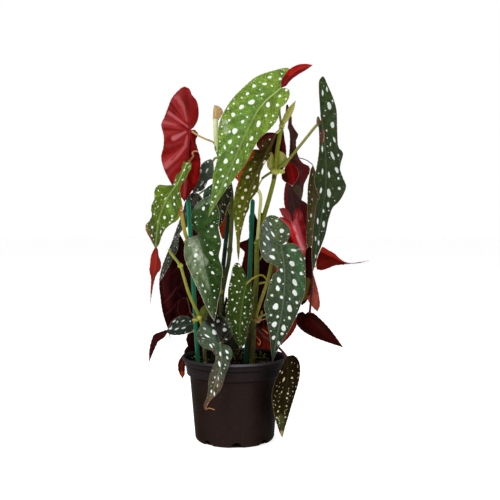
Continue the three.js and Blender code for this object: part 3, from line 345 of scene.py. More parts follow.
def scattered_spots(half, rng, size, gap):
    """Spots in loose rows between the side veins, largest halfway across, smaller to the margin"""
    spots = []
    length = half.rib.length * SHEET_UNIT
    rows = max(2, int(length / gap))
    lobe_rows = max(1, int(half.lobe * half.margin.length * SHEET_UNIT / gap))
    shares = np.concatenate([-1 + (np.arange(lobe_rows) + 0.5) / lobe_rows, (np.arange(rows) + 0.5) / rows])
    for share in shares:
        for across in SPOT_LANES:
            along = share + rng.uniform(-0.4, 0.4) / rows
            across += rng.uniform(-0.05, 0.05)
            if rng.random() < SPOT_GAPS or along > 0.97:
                continue
            centre = half.on_sheet(along, across)
            forward = half.on_sheet(min(along + 0.1, 1), min(across + 0.12, 1)) - centre
            local = np.linalg.norm(half.on_sheet(along, 1.0) - half.on_sheet(along, 0.0)) * SHEET_UNIT
            shrink = min(1, 0.35 + local / 45) * (1.15 - 1.2 * abs(across - 0.42))
            half_length = max(0.75, size * shrink * rng.uniform(0.55, 1.2)) / SHEET_UNIT
            angle = math.degrees(math.atan2(-forward[1], forward[0])) + rng.uniform(-14, 14)
            spots.append((centre[0], centre[1], half_length, half_length / rng.uniform(1.25, 1.8), angle))
    return spots


def blade_mesh(blade, look, seed):
    """The middle sheet of one blade: its points, faces, and the values its materials read"""
    look = {**PLAIN_LOOK, **look}
    grain = GRAIN * look["grain"]
    rib = Curve(blade["midrib"])
    body_rows = max(12, math.ceil(rib.length * SHEET_UNIT / grain))
    rng = np.random.default_rng(seed)
    count = body_rows + 1
    shares = np.arange(count) / body_rows
    rib_points = rib.at(shares)
    points = [at(*rib_points.T)]
    on_rib = dict(spot=NO_SPOT, vein=0.0, rib=0.0, edge=NO_EDGE, along=shares, side=0.0)
    values = {name: [np.full(count, value)] for name, value in on_rib.items()}
    values["edge"][0][-1] = 0
    tints = [patch_tint(rib_points[:, :2], look["patches"])]
    faces = []
    for side, sign in (("left", -1), ("right", 1)):
        half = Half(blade, side, rib, grain, body_rows)
        root = half.rib_points[:, None, :]
        sheet = root[..., :2] + (half.edge[:, None, :] - root[..., :2]) * half.across[None, :, None]
        depth = blade_depth(blade, half, sheet, root)
        flat = sheet.reshape(-1, 2)
        reach = np.linalg.norm(sheet - root[..., :2], axis=2) * SHEET_UNIT
        vein = distance_to_lines(flat, half.vein_lines(look["veins"])).reshape(reach.shape) * SHEET_UNIT
        vein = np.minimum(vein + 0.5 * half.across, reach * 0.6)
        swelling = look["relief"] * (1 - np.exp(-(vein / SWELLING_REACH) ** 2)) * (1 - half.across ** 4)
        depth += swelling * (-1 if look["seen"] == "upper" else 1)
        if look["pleats"]:
            depth += pleat_height(flat, look["pleats"]).reshape(reach.shape)
        spots = look["marks"] or scattered_spots(half, rng, look["size"], look["gap"])
        spot = spot_distance(flat, spots).reshape(reach.shape) if look["spotted"] else NO_SPOT
        # The midrib is the grid's first column and the tip its last row, so neither is added again
        inner = at(sheet[..., 0], sheet[..., 1], depth)[:-1, 1:].reshape(-1, 3)
        grids = dict(spot=spot, vein=vein, rib=reach, edge=reach[:, -1:] * (1 - half.across),
                     along=half.along[:, None], side=sign * half.across)
        for name, grid in grids.items():
            values[name].append(np.broadcast_to(grid, reach.shape)[:-1, 1:].reshape(-1))
        tint = patch_tint(flat, look["patches"]).reshape(*reach.shape, 4)
        tints.append(tint[:-1, 1:].reshape(-1, 4))
        numbers = np.empty(reach.shape, int)
        numbers[:, 0] = half.rib_row
        numbers[-1, :] = body_rows
        numbers[:-1, 1:] = count + np.arange(len(inner)).reshape(-1, half.steps)
        points.append(inner)
        count += len(inner)
        for above, below in zip(numbers[:-1].tolist(), numbers[1:].tolist()):
            for step in range(half.steps):
                face = list(dict.fromkeys((above[step], below[step], below[step + 1], above[step + 1])))
                if len(face) > 2:
                    faces.append(face if sign < 0 else face[::-1])
    values = {name: np.concatenate(parts) for name, parts in values.items()}
    return np.vstack(points), faces, values, np.vstack(tints)


def sheet_normals(points, faces):
    """Unit normals at the points of a mesh"""
    corners = np.array([face[:3] for face in faces])
    first, second, third = (points[corners[:, i]] for i in range(3))
    normals = np.cross(second - first, third - first)
    total = np.zeros_like(points)
    for face_corners in corners.T:
        np.add.at(total, face_corners, normals)
    for i, face in enumerate(faces):
        if len(face) == 4:
            total[face[3]] += normals[i]
    return total / (np.linalg.norm(total, axis=1)[:, None] + 1e-12)


def add_blade(piece, blade, look, seed, upper_slot, under_slot):
    """Both faces of a blade and its rim. The face towards the viewer is the one that the look names"""
    points, faces, values, tint = blade_mesh(blade, look, seed)
    normals = sheet_normals(points, faces)
    if normals[:, 1].mean() > 0:
        faces = [face[::-1] for face in faces]
        normals = -normals
    thin = 1 - 0.5 * np.exp(-values["edge"] / THIN_EDGE)
    offset = normals * (BLADE_THICKNESS / 2 * thin)[:, None]
    size = len(points)
    edges = {}
    for face in faces:
        for start, end in zip(face, face[1:] + face[:1]):
            if (end, start) in edges:
                del edges[(end, start)]
            else:
                edges[(start, end)] = True
    rim = [(end, start, start + size, end + size) for start, end in edges]
    back = [[corner + size for corner in face[::-1]] for face in faces]
    seen, hidden = (upper_slot, under_slot) if look["seen"] == "upper" else (under_slot, upper_slot)
    slots = [seen] * len(faces) + [hidden] * len(back) + [hidden] * len(rim)
    doubled = {name: np.concatenate([value, value]) for name, value in values.items()}
    tint = np.vstack([tint, np.zeros_like(tint)])
    piece.add(np.vstack([points + offset, points - offset]), faces + back + rim, slots, tint, **doubled)


# Materials
def rgb(red, green, blue):
    """A colour given as a screen shows it, 0 to 255"""
    return (*linear((red, green, blue)).tolist(), 1.0)


class Shader:
    """A material's nodes, added one after another"""

    def __init__(self, name):
        self.material = bpy.data.materials.new(name)
        self.material.use_nodes = True
        self.tree = self.material.node_tree
        self.principled = self.tree.nodes["Principled BSDF"]
        self.place = self.node("TexCoord", "Object")
        self.tint = self.node("Attribute", "Color", attribute_name="tint")
        self.tint_cover = self.node("Attribute", "Alpha", attribute_name="tint")

    def node(self, kind, output, sockets=(), **settings):
        """Adds a node, sets or links its sockets and gives one of its outputs"""
        made = self.tree.nodes.new("ShaderNode" + kind)
        for key, value in settings.items():
            setattr(made, key, value)
        for socket, value in dict(sockets).items():
            self.put(made.inputs[socket], value)
        return made.outputs[output]

    def put(self, socket, value):
        if isinstance(value, bpy.types.NodeSocket):
            self.tree.links.new(value, socket)
        else:
            socket.default_value = value

    def value(self, name):
        """One of the values that the piece's points carry"""
        return self.node("Attribute", "Fac", attribute_name=name)

    def tinted(self, colour):
        """Lays the piece's own patches over a colour: marks of the leaf, and painted highlights and painted
        shade
        """
        bare = self.mix(self.tint_cover, colour, (0, 0, 0, 1))
        return self.mix(1.0, bare, self.tint, "ADD")

    def axis(self, name):
        """One of the object's own coordinates, in metres"""
        return self.node("SeparateXYZ", name, {"Vector": self.place})

    def noise(self, size, detail=3.0, rough=0.55, stretch=None):
        """Cloudy noise with features of about the given size in mm"""
        place = self.place
        if stretch:
            place = self.node("Mapping", "Vector", {"Vector": place, "Scale": stretch})
        return self.node("TexNoise", "Fac", {"Vector": place, "Scale": 1 / (size * MM), "Detail": detail,
                                             "Roughness": rough})

    def cells(self, size, feature="F1"):
        """Distance to the nearest of scattered points that lie about the given size apart, in cells"""
        return self.node("TexVoronoi", "Distance", {"Vector": self.place, "Scale": 1 / (size * MM)},
                         feature=feature)

    def step(self, value, low, high, start=0.0, end=1.0):
        """Goes softly from start to end as the value goes from low to high"""
        return self.node("MapRange", "Result", {"Value": value, "From Min": low, "From Max": high,
                                                "To Min": start, "To Max": end},
                         interpolation_type="SMOOTHSTEP")

    def maths(self, operation, first, second=0.0):
        return self.node("Math", 0, {0: first, 1: second}, operation=operation)

    def mix(self, factor, first, second, blend="MIX"):
        colours = {"Factor": factor, 6: first, 7: second}
        return self.node("Mix", 2, colours, data_type="RGBA", blend_type=blend)

    def bump(self, height, strength, distance, normal=None):
        """distance is the height in mm of the bumps"""
        sockets = {"Height": height, "Strength": strength, "Distance": distance * MM}
        if normal is not None:
            sockets["Normal"] = normal
        return self.node("Bump", "Normal", sockets)

    def finish(self, colour, roughness, normal=None, specular=0.4, **sockets):
        self.put(self.principled.inputs["Base Color"], colour)
        self.put(self.principled.inputs["Roughness"], roughness)
        self.put(self.principled.inputs["Specular IOR Level"], specular)
        for name, value in sockets.items():
            self.put(self.principled.inputs[name.replace("_", " ")], value)
        if normal is not None:
            self.put(self.principled.inputs["Normal"], normal)
        return self.material


def upper_material(name, near, far, patch, vein, left=None, margin=(150, 132, 112), spot=(214, 220, 212),
                   dots=0.5, gloss=0.42, speckle=0.1, specular=0.05, side_veins=0.18, midrib=(0.3, 0.15),
                   rib_end=0.9, rim=0.5, veiled=0.1):
    """The spotted upper face of a leaf. near is its colour at the leaf stalk and far is at the tip"""
    s = Shader(name)
    colour = s.mix(s.step(s.value("along"), 0.05, 0.95), rgb(*near), rgb(*far))
    colour = s.mix(s.step(s.noise(26, 3), 0.38, 0.72, 0, 0.75), colour, rgb(*patch))
    # left paints a sheen over the leaf's left half: a painted highlight
    if left:
        colour = s.mix(s.step(s.value("side"), -0.15, 0.12, 0.85, 0), colour, rgb(*left))
    colour = s.tinted(colour)
    between = s.step(s.value("vein"), 0.8, 5.0, 0.3, 0)
    colour = s.mix(between, colour, (0, 0, 0, 1))
    mottle = s.noise(2.2, 4, 0.6)
    broad = s.mix(s.step(s.noise(7, 3), 0.35, 0.65), (0.36, 0.36, 0.36, 1), (0.66, 0.66, 0.66, 1))
    colour = s.mix(0.6, colour, broad, "OVERLAY")
    fine = s.mix(s.step(mottle, 0.35, 0.65), (0.3, 0.3, 0.3, 1), (0.75, 0.75, 0.75, 1))
    colour = s.mix(0.55, colour, fine, "OVERLAY")
    dark_web = s.step(s.cells(3.4, "DISTANCE_TO_EDGE"), 0.0, 0.12, 0.16, 0)
    colour = s.mix(dark_web, colour, (0, 0, 0, 1))
    colour = s.mix(s.step(s.value("vein"), 0.25, 1.1, side_veins, 0), colour, rgb(*vein))
    rib_reach = s.step(s.value("along"), 0.1, rib_end, *midrib)
    colour = s.mix(s.maths("MULTIPLY", s.step(s.value("rib"), 0.2, 0.9, 1, 0), rib_reach), colour, rgb(*vein))
    speck = s.cells(4.6)
    near_edge = s.step(s.value("edge"), 1.5, 9, 0.05 + 0.12 * dots, 0.02 + 0.06 * dots)
    dotted = s.maths("LESS_THAN", speck, near_edge)
    clean = s.step(s.value("vein"), 0.5, 1.4)
    off_edge = s.step(s.value("edge"), 0.5, 1.1)
    dotted = s.maths("MULTIPLY", s.maths("MULTIPLY", dotted, clean), off_edge)
    wobble = s.maths("MULTIPLY", s.maths("SUBTRACT", s.noise(1.6, 2), 0.5), 0.5)
    marked = s.step(s.maths("ADD", s.value("spot"), wobble), -0.42, 0.22, 1, 0)
    white = s.mix(s.step(s.noise(0.9, 3, 0.7), 0.42, 0.75, 0, speckle * 3), rgb(*spot), rgb(*far))
    # The patches, painted shade among them, also cover the spots by the share veiled
    white = s.mix(s.maths("MULTIPLY", s.tint_cover, veiled), white, colour)
    colour = s.mix(s.maths("MULTIPLY", dotted, 0.85), colour, rgb(*spot))
    colour = s.mix(s.maths("MULTIPLY", marked, 0.94), colour, white)
    colour = s.mix(s.step(s.value("edge"), 0.1, 0.6, rim, 0), colour, rgb(*margin))
    raised = s.step(s.value("vein"), 0.2, 1.5, 0.5, 0)
    height = s.maths("ADD", s.maths("MULTIPLY", s.noise(1.5, 2), 0.5), raised)
    normal = s.bump(height, 0.35, 0.35)
    normal = s.bump(s.noise(7, 2), 0.4, 0.8, normal)
    rough = s.step(s.noise(9, 3), 0.3, 0.7, gloss - 0.06, gloss + 0.1)
    return s.finish(colour, rough, normal, specular=specular)


def under_material(name, deep, mid, light, margin=(120, 30, 35), gloss=0.42, specular=0.02, veins=0.22):
    """The red under face of a leaf, with raised veins"""
    s = Shader(name)
    colour = s.mix(s.step(s.noise(22, 3), 0.35, 0.7), rgb(*deep), rgb(*mid))
    colour = s.mix(s.step(s.value("vein"), 1.0, 9.0, 0.0, 0.35), colour, rgb(*light))
    colour = s.tinted(colour)
    colour = s.mix(s.step(s.value("vein"), 0.2, 1.0, veins, 0), colour, rgb(*light))
    fine = s.noise(1.8, 4, 0.65)
    colour = s.mix(0.3, colour, s.mix(fine, (0.3, 0.3, 0.3, 1), (0.7, 0.7, 0.7, 1)), "OVERLAY")
    colour = s.mix(s.step(s.value("edge"), 0.1, 0.8, 0.7, 0), colour, rgb(*margin))
    height = s.maths("ADD", s.maths("MULTIPLY", fine, 0.4), s.step(s.value("vein"), 0.2, 1.6, 0.8, 0))
    normal = s.bump(height, 0.4, 0.45)
    normal = s.bump(s.noise(6, 2), 0.35, 0.6, normal)
    rough = s.step(s.noise(8, 3), 0.3, 0.7, gloss - 0.05, gloss + 0.1)
    return s.finish(colour, rough, normal, specular=specular)


def stem_material(name, low, high, foot=None, foot_end=0.0, speck=(190, 190, 130), gloss=0.46):
    """A cane or leaf stalk. low is its colour at its foot and high is at its end"""
    s = Shader(name)
    colour = s.mix(s.step(s.value("along"), max(0.05, foot_end), 0.95), rgb(*low), rgb(*high))
    if foot:
        colour = s.mix(s.step(s.value("along"), foot_end - 0.04, foot_end + 0.03, 1, 0), colour, rgb(*foot))
    colour = s.tinted(colour)
    streak = s.noise(3.0, 3, 0.6, stretch=(1, 1, 0.18))
    colour = s.mix(s.step(streak, 0.35, 0.7, 0, 0.45), colour, s.mix(0.5, colour, rgb(*high)))
    dark = s.mix(0.5, colour, (0.02, 0.02, 0.01, 1), "MULTIPLY")
    colour = s.mix(s.step(s.noise(8, 3), 0.5, 0.75, 0, 0.3), colour, dark)
    flecks = s.maths("LESS_THAN", s.cells(4.2), 0.13)
    colour = s.mix(s.maths("MULTIPLY", flecks, 0.5), colour, rgb(*speck))
    normal = s.bump(streak, 0.35, 0.3)
    rough = s.step(s.noise(6, 3), 0.3, 0.7, gloss - 0.08, gloss + 0.1)
    return s.finish(colour, rough, normal, specular=0.09)


# Leaf outlines: midribs of column, row and depth y, then left and right margins from the stalk to the tip
LEAVES = {
    "leaf_crown": [blade(
        [(281, 88, -30), (262, 105, -42), (250, 125, -54), (232, 165, -68), (218, 195, -74),
         (208.3, 217, -76)],
        [(285, 84), (290, 77), (289, 68.5), (272, 71), (256, 77), (245, 86), (233, 98), (225, 110),
         (220, 121), (218, 133), (217.6, 148), (216.4, 163), (213.8, 172), (211.5, 194)],
        [(285, 88), (289, 90), (289.5, 96), (286, 103), (279, 110), (277.6, 119), (268, 131), (260, 138),
         (254, 148), (245, 164.6), (238, 174), (230.4, 184), (223, 194), (217, 203)],
        left_lobe=0.2, right_lobe=0.1, turn=-0.25, fold=0.25), blade(
        [(281, 88, -30), (289, 77, -36), (299, 69, -42), (312.8, 65, -46)],
        [(281, 82), (285.3, 74), (290.6, 68.4), (298.3, 64.6), (306, 63.8)],
        [(286, 86), (291, 80), (298.3, 74.5), (306, 70)],
        ripple=0.6, teeth=0)],
    "leaf_left_red": [blade(
        [(190.4, 130, 2), (188, 150, -6), (186, 175, -14), (184.4, 201.6, -20)],
        [(193.8, 127.2), (197.4, 121), (198.7, 113.5), (197, 101.5), (191.8, 94.5), (189.4, 89), (184, 86.8),
         (178.6, 90.2), (171.6, 98.6), (168, 107.5), (164.2, 117.5), (161.3, 124.5), (163.8, 136.5),
         (163.4, 147), (161.2, 157), (163.6, 168), (171.5, 184), (180, 195.5)],
        [(194.6, 129.6), (198, 134), (195.6, 140.8), (197.6, 148.5), (200.4, 159), (200.2, 170),
         (198.4, 181.5), (191, 192.5)],
        left_lobe=0.5, right_lobe=0.06, turn=-0.1, fold=0.65, ripple=3)],
    "leaf_left_lime": [blade(
        [(187, 163, -44), (178, 182, -51), (168, 197, -56), (160.5, 214, -60), (157, 232, -64),
         (155.6, 249, -66)],
        [(184, 161.2), (182.4, 166), (181, 171.5), (176.5, 175.3), (174.6, 181), (172.6, 186.4),
         (166, 185.6), (158.5, 185.2), (154.6, 190.5), (154.5, 198.5), (151.6, 205.5), (151.2, 211),
         (152, 214.5), (149.6, 220.5), (145, 226), (146.6, 232), (150.6, 239.5)],
        [(189, 160), (191.4, 164.2), (191, 168.6), (188.5, 173), (186, 178.5), (182, 184), (180.2, 189),
         (180.8, 196), (182, 203), (182.8, 209), (180.8, 214.5), (177, 220.5), (171, 224.3), (165.6, 229),
         (161.6, 236.4), (159.4, 243.5)],
        turn=-0.5, ripple=3, waves=4), blade(
        [(156, 246, -66), (155.8, 262, -66), (152.8, 280, -64), (150.4, 303.5, -62)],
        [(153.4, 250), (151, 256), (150, 264), (149.4, 271), (151, 278), (150.6, 290)],
        [(158, 249.6), (158.6, 256), (160.8, 262), (160.6, 269), (156.6, 274.5), (154, 282), (152, 293)],
        ripple=0.5, turn=0.4)],
    "leaf_left_small": [blade(
        [(213, 161, 22), (208, 172, 23), (201, 183, 22), (192.5, 192, 20)],
        [(210.5, 159), (205, 161.4), (201, 165.5), (199.6, 173), (198.6, 179.5), (194.6, 185)],
        [(213.6, 165), (213.8, 172), (213, 178.4), (208.6, 180), (206.2, 184.5), (203.6, 189.4),
         (198, 191.8)],
        turn=-0.6, ripple=1)],
    "leaf_left_dark": [blade(
        [(199, 194, 29), (190.5, 206, 30), (182.6, 224, 30), (174.6, 244, 29), (166.5, 262, 29),
         (160.4, 281, 29)],
        [(194, 191.4), (188.6, 195.5), (185.2, 202), (183.4, 209), (180.8, 217), (177.4, 226), (174.4, 235),
         (170.6, 245), (166.4, 255), (162.4, 266), (160.2, 275)],
        [(202.6, 198.6), (201, 206), (196, 213), (191, 222), (185.6, 228.6), (180.6, 232), (178.6, 240),
         (177.6, 250), (173, 258), (168, 268), (163.6, 276)],
        fold=0, turn=-0.2, ripple=1)],
    "leaf_left_inner": [blade(
        [(187, 297.5, 22), (185, 307, 23), (183.5, 318, 24)],
        [(183, 298), (179, 301.6), (177.6, 307), (178.6, 313.4)],
        [(188.6, 300), (190, 306.5), (189.2, 313)],
        ripple=0.5)],
    "leaf_centre_left": [blade(
        [(198.4, 235, -44), (202.4, 248, -50), (205.3, 266, -55), (209.5, 283, -59), (212.5, 302, -62),
         (214.3, 321, -64)],
        [(194.5, 236.5), (189, 238), (184.8, 245), (184.4, 256), (186.5, 264), (190.6, 273), (195.2, 283.4),
         (200.3, 293.6), (205.4, 305.3), (210.5, 315.5)],
        [(195, 231), (191.5, 224), (191.5, 215), (196, 205), (203, 199), (211, 197), (217, 205),
         (219.6, 217), (218.5, 227), (221.3, 243), (219, 257), (222.8, 269), (221.5, 281), (220.7, 291),
         (218.2, 301), (216.6, 311)],
        left_lobe=0.1, right_lobe=0.45, turn=-0.15, rise=-0.2, fold=0.35, ripple=2.5)],
    "leaf_centre_dark": [blade(
        [(226, 178, -16), (223, 195, -14), (220.6, 210, -12), (219, 226.5, -11)],
        [(221, 178.6), (212.5, 183.6), (206.5, 188), (203.6, 193), (203, 200), (206, 211), (212, 221)],
        [(231, 183.5), (231.8, 191), (230.6, 199), (227.6, 206), (225.6, 213), (224, 219.6), (221.4, 224)],
        ripple=1)],
    "leaf_olive": [blade(
        [(276, 133, -12), (267, 152, -19), (256, 175, -26), (246, 200, -30), (240, 222, -31),
         (238.5, 240, -30), (238.4, 261, -28)],
        [(272, 132.4), (267, 132.7), (260, 138), (256.4, 144.6), (259, 149.8), (254.6, 149.2), (249.6, 153),
         (245.4, 159), (240.8, 168), (235, 177.6), (238, 181), (235.8, 189), (234, 200), (233.3, 212),
         (234.4, 223), (236.6, 239), (237, 250)],
        [(276.5, 136), (271.5, 148), (270.7, 154), (265, 163.4), (260.8, 171.5), (259, 183), (257.5, 191),
         (254, 196), (250, 202), (248.8, 209), (246, 214.5), (243.6, 223), (240.2, 238), (239.8, 250)],
        turn=0.5, fold=0.3, ripple=2)],
    "leaf_right_tall": [blade(
        [(321.6, 121, -18), (324.5, 145, -20), (326, 168, -22), (325, 192, -25), (321, 218, -28),
         (316.5, 246, -30), (312.5, 273, -30)],
        [(319, 123.5), (317.6, 119.5), (319, 132), (319, 148.6), (317.8, 160), (316, 170), (314, 180),
         (316, 189), (319.2, 197.4), (316, 205), (314.5, 216), (313, 230), (311.8, 245), (311.8, 260)],
        [(320.5, 116), (319.7, 102), (319, 89), (319.5, 80), (323, 76.4), (328, 86), (333.4, 98.7),
         (336.4, 110), (337, 122), (337.3, 134), (338.5, 147), (342.9, 153), (340.8, 163), (340, 169),
         (343, 178), (346, 186), (343, 195), (338.5, 202), (332.7, 207.7), (330, 214.6), (328, 221.5),
         (325.4, 234), (321.4, 245.8), (318, 254.4), (315, 264.8)],
        left_lobe=0.05, right_lobe=0.36, turn=0.9, ripple=4, waves=6)],
    "leaf_right_olive": [blade(
        [(313, 165, 10), (313, 190, 10), (312, 220, 8), (309, 250, 6)],
        [(310.5, 170), (308, 185), (307.4, 205), (306.8, 225), (306, 240)],
        [(315.5, 172), (319, 190), (319, 210), (316, 230), (313, 243)],
        turn=1.2, ripple=1)],
    "leaf_lower_right": [blade(
        [(281.2, 245.3, -48), (284, 265, -53), (284.5, 285, -54), (282, 310, -50), (277, 336, -42),
         (272.3, 362.7, -28)],
        [(284, 243), (288, 239.5), (290.6, 233), (289, 227), (284.6, 222.5), (279, 217.5), (272, 215),
         (266, 217.5), (261, 227), (259, 240), (261, 253), (266, 261.5), (274, 265), (277.5, 270),
         (273, 275.5), (269, 285), (266.2, 297.5), (264, 306), (265.6, 314), (268, 326.4), (270, 338.5),
         (271, 351)],
        [(284.5, 247.5), (288, 244), (294, 243.5), (301, 250), (304.7, 260), (305.5, 277), (304.7, 293),
         (301, 304), (296.2, 316), (291.4, 326.4), (285.3, 337), (280.4, 344.5), (276, 354)],
        left_lobe=0.4, right_lobe=0.2, rise=-0.15, turn=0.3, fold=0.25, ripple=3)],
    "leaf_lower_centre": [blade(
        [(246, 284, -34), (243, 300, -35), (240.5, 318, -34), (239.5, 335, -30), (240, 349, -24)],
        [(247.4, 281), (245, 273), (241, 265.5), (237, 262.5), (233, 266.5), (231, 276), (228.4, 288),
         (227.6, 299), (225.3, 310), (227, 319), (229.5, 328.7), (233, 336.7), (237, 343.6)],
        [(248.5, 284.6), (251, 285.5), (254, 289), (254, 297), (252.9, 306), (250.8, 320), (248, 328),
         (246.8, 337), (244, 345)],
        left_lobe=0.44, right_lobe=0.07, rise=0, turn=0.3, fold=0.3, ripple=1.5)],
    "leaf_over_rim": [blade(
        [(220.1, 344.2, -62), (221.5, 355, -69), (220.5, 367, -77), (216.5, 380, -80), (211.5, 395, -80),
         (205.3, 410, -78)],
        [(226, 342), (230, 339), (232.4, 333), (231, 326), (227.5, 319), (219, 315), (209, 314),
         (202.6, 323), (198, 330), (196.2, 336), (199, 343.6), (204.3, 348.2), (211, 350), (215.5, 356),
         (214.6, 362), (210.6, 372), (208.5, 381), (208, 390), (206.5, 398), (203.7, 405.5)],
        [(225, 344.6), (229.5, 346.5), (232.4, 353), (230, 362), (228, 368), (224.8, 377), (223, 384),
         (219.8, 391), (213.5, 397.5), (209, 402.5)],
        left_lobe=0.52, right_lobe=0.08, ripple=2, rise=0.35, fold=0.12)],
    "leaf_low_dark": [blade(
        [(224, 304, 9), (227, 318, 10), (233, 333, 10.5), (241, 346, 11)],
        [(220, 299), (213, 306), (206, 309), (200, 316), (196.5, 326), (197.5, 336), (201, 345),
         (212, 348.5), (226, 349.6), (235, 350)],
        [(226, 296), (229.4, 303), (231.4, 318), (235, 328), (240, 335), (246, 342)],
        turn=0, fold=0, ripple=0.6)],
    "leaf_hanging_right": [blade(
        [(286.8, 357, -56), (288, 370, -62), (286, 390, -64), (284, 412, -62), (282.2, 437.6, -56)],
        [(285.2, 361), (279.5, 371.8), (275, 381.7), (271.8, 394.7), (272.6, 406), (275, 417.7),
         (277.2, 425.4), (279.8, 433)],
        [(289, 355.6), (293.5, 355.4), (297.4, 358.5), (299.8, 364.5), (300, 374), (298, 384.5),
         (294.8, 394.7), (290.2, 410), (285.4, 426)],
        turn=0.3, rise=0, ripple=1.5, fold=0.1)],
    "leaf_lower_left": [blade(
        [(193, 323.5, -22), (184, 325.5, -30), (175, 328, -37), (166, 332, -42)],
        [(192, 319.5), (188.8, 317), (180.2, 316), (172, 321), (168.5, 327)],
        [(193.6, 327), (192, 331), (183.4, 334.3), (176.3, 335.2), (170, 334.4)],
        ripple=0.8, rise=0, turn=0.65), blade(
        [(168, 331.2, -41.2), (160.5, 335, -45), (154, 342, -47), (151, 351, -48), (149.2, 362, -48)],
        [(166, 329.8), (160.6, 331.8), (154, 334.7), (151.6, 340), (149.8, 347), (149, 354)],
        [(166, 335), (163.8, 337.8), (158.4, 341.5), (156, 346), (153, 352.6)],
        ripple=0.4, rise=0, turn=0.4)],
    "leaf_left_maroon": [blade(
        [(184, 242, 37), (180, 262, 38), (175.5, 285, 38), (171.5, 308, 37), (167.4, 327.8, 35)],
        [(181, 238.6), (179, 233), (175.8, 231.4), (172.8, 240), (168.4, 251), (163.4, 264), (159.8, 276),
         (159.2, 286), (160.2, 296), (161.6, 307), (164, 317.5)],
        [(187, 237.6), (194, 241), (200, 254), (204.5, 272), (206.5, 290), (206.5, 306), (205, 320),
         (199, 331), (187, 331)],
        left_lobe=0.14, right_lobe=0.05, turn=-0.3, ripple=2.5)],
    "leaf_right_red": [blade(
        [(316, 266, 6), (326, 260.5, 14), (338, 261.5, 22), (349, 263.4, 28), (359, 262.6, 32),
         (369, 260.6, 36)],
        [(316.5, 260), (319.6, 252), (322.5, 247), (328.4, 250), (334.6, 253.6), (339, 257.8),
         (344.4, 261.6), (350, 263), (359, 262.2)],
        [(317, 269.5), (322, 270.2), (328, 268.4), (335, 265.6), (343, 264.7), (350, 263.8), (359, 263)],
        rise=0.3, turn=0.5, ripple=1.5, left_lobe=0.2)],
    "leaf_right_low": [blade(
        [(305.5, 314, -10), (313, 323, -18), (322, 330.5, -26), (333, 339, -33), (343.2, 347.3, -38)],
        [(308, 312), (313.5, 313.2), (318.6, 317.3), (326.5, 325), (334.5, 335)],
        [(302.5, 311.5), (297.5, 314), (296.5, 323.3), (302.3, 330.6), (312.6, 336.7), (321.6, 340.3),
         (333.8, 344.5)],
        right_lobe=0.15, rise=0.4, turn=-0.5, ripple=1.5)],
    "leaf_right_rounded": [blade(
        [(313, 274, 14), (313.6, 290, 17), (314.8, 301, 19), (317.4, 311.6, 20)],
        [(310, 278), (308, 290), (307.6, 299), (312, 306.4)],
        [(315, 280), (317.4, 288), (319.2, 297), (319.8, 305.6)],
        turn=0.6, ripple=0.6)],
    "leaf_right_inner": [blade(
        [(308.6, 246, -9), (308.4, 262, -9), (306.6, 282, -9), (301.6, 305.6, -8)],
        [(306, 250), (304.6, 264), (303, 282), (300, 296)],
        [(312, 248), (312.6, 262), (312, 278), (310.4, 292), (306.4, 301.6)],
        ripple=0.6)],
    "leaf_crimson": [blade(
        [(293.6, 222, -11), (297, 232, -14), (301, 243, -16), (305.4, 258, -17)],
        [(289, 219), (280, 217), (282, 222), (285, 230), (287, 240), (292, 248), (300, 255)],
        [(293.4, 214), (297, 208.6), (301.6, 212), (304, 222), (306, 231), (306.4, 243)],
        left_lobe=0.3, right_lobe=0.2, rise=0, ripple=1.2, fold=0.3), blade(
        [(292, 222, -11), (287.6, 217, -10), (283.6, 212.6, -9), (279, 208.4, -8)],
        [(289, 221.4), (284, 218), (280.6, 212.4)],
        [(291.4, 217.6), (289.6, 212.6), (284.6, 208)],
        ripple=0.3)],
    "leaf_rear_tall": [blade(
        [(287.4, 104.6, 16), (290, 125, 22), (294, 150, 28), (299, 172, 33), (301.4, 200, 36)],
        [(286.6, 109), (287.6, 115), (289.2, 121), (287.8, 127.4), (289.6, 133), (289.8, 146), (289, 157),
         (290.4, 170), (292.4, 186), (296.6, 195.4)],
        [(288.8, 109), (290.8, 113), (291.8, 119), (292, 124.6), (295, 130), (298.2, 134.8), (296.2, 140.4),
         (296.6, 150), (299.6, 159), (303.6, 163.8), (309, 166.4), (309.8, 171), (307, 178), (304, 184.4),
         (303, 193)],
        ripple=1.5, turn=0.8)],
    "leaf_rear_fold": [blade(
        [(288.6, 161, 10), (291.4, 170, 11), (293.6, 178, 12), (293, 186, 14)],
        [(286, 165), (283.6, 171), (281.4, 175.4), (283, 180.4), (287, 183)],
        [(290.8, 162.4), (295.2, 165.4), (298.4, 171.6), (298.3, 177.4), (295.4, 182)],
        ripple=0.8)],
    "leaf_rear_wide": [blade(
        [(287.6, 180, 18), (292.4, 198, 22), (296.6, 216, 24), (301, 236, 24), (306.4, 259, 22)],
        [(285.4, 184), (284.2, 191), (284, 202), (285.4, 209), (289, 218), (293, 230), (298, 244)],
        [(290.6, 184), (295.6, 192), (300.6, 199.4), (307, 203.8), (307.8, 212), (307.2, 221), (308.8, 231),
         (308, 238), (306.6, 243), (308.6, 251)],
        ripple=1.5)],
    "leaf_rear_top": [blade(
        [(283, 128, 34), (281.5, 148, 42), (277, 171, 46)],
        [(277, 130.6), (271.4, 142), (271.6, 158)],
        [(284, 138), (286, 148), (285, 163)],
        ripple=1, turn=-0.5)],
    "leaf_rear_centre": [blade(
        [(259, 224, 36), (262, 245, 44), (265, 268, 50), (266, 291, 52), (262, 322, 52)],
        [(256, 222), (252, 218), (254.6, 212.8), (250, 214), (249, 226), (248.6, 238.4), (244.4, 240.6),
         (238.6, 243.4), (239.6, 247), (244.4, 252), (243.4, 258), (241.6, 268), (244, 282), (247, 300),
         (252, 314)],
        [(261, 220), (259.6, 212.4), (266, 216), (275, 236), (284, 255), (288, 272), (285, 290), (275, 306)],
        left_lobe=0.2, right_lobe=0.12, turn=0.3, fold=-0.2, ripple=2.5, waves=4)],
    "leaf_rear_red": [blade(
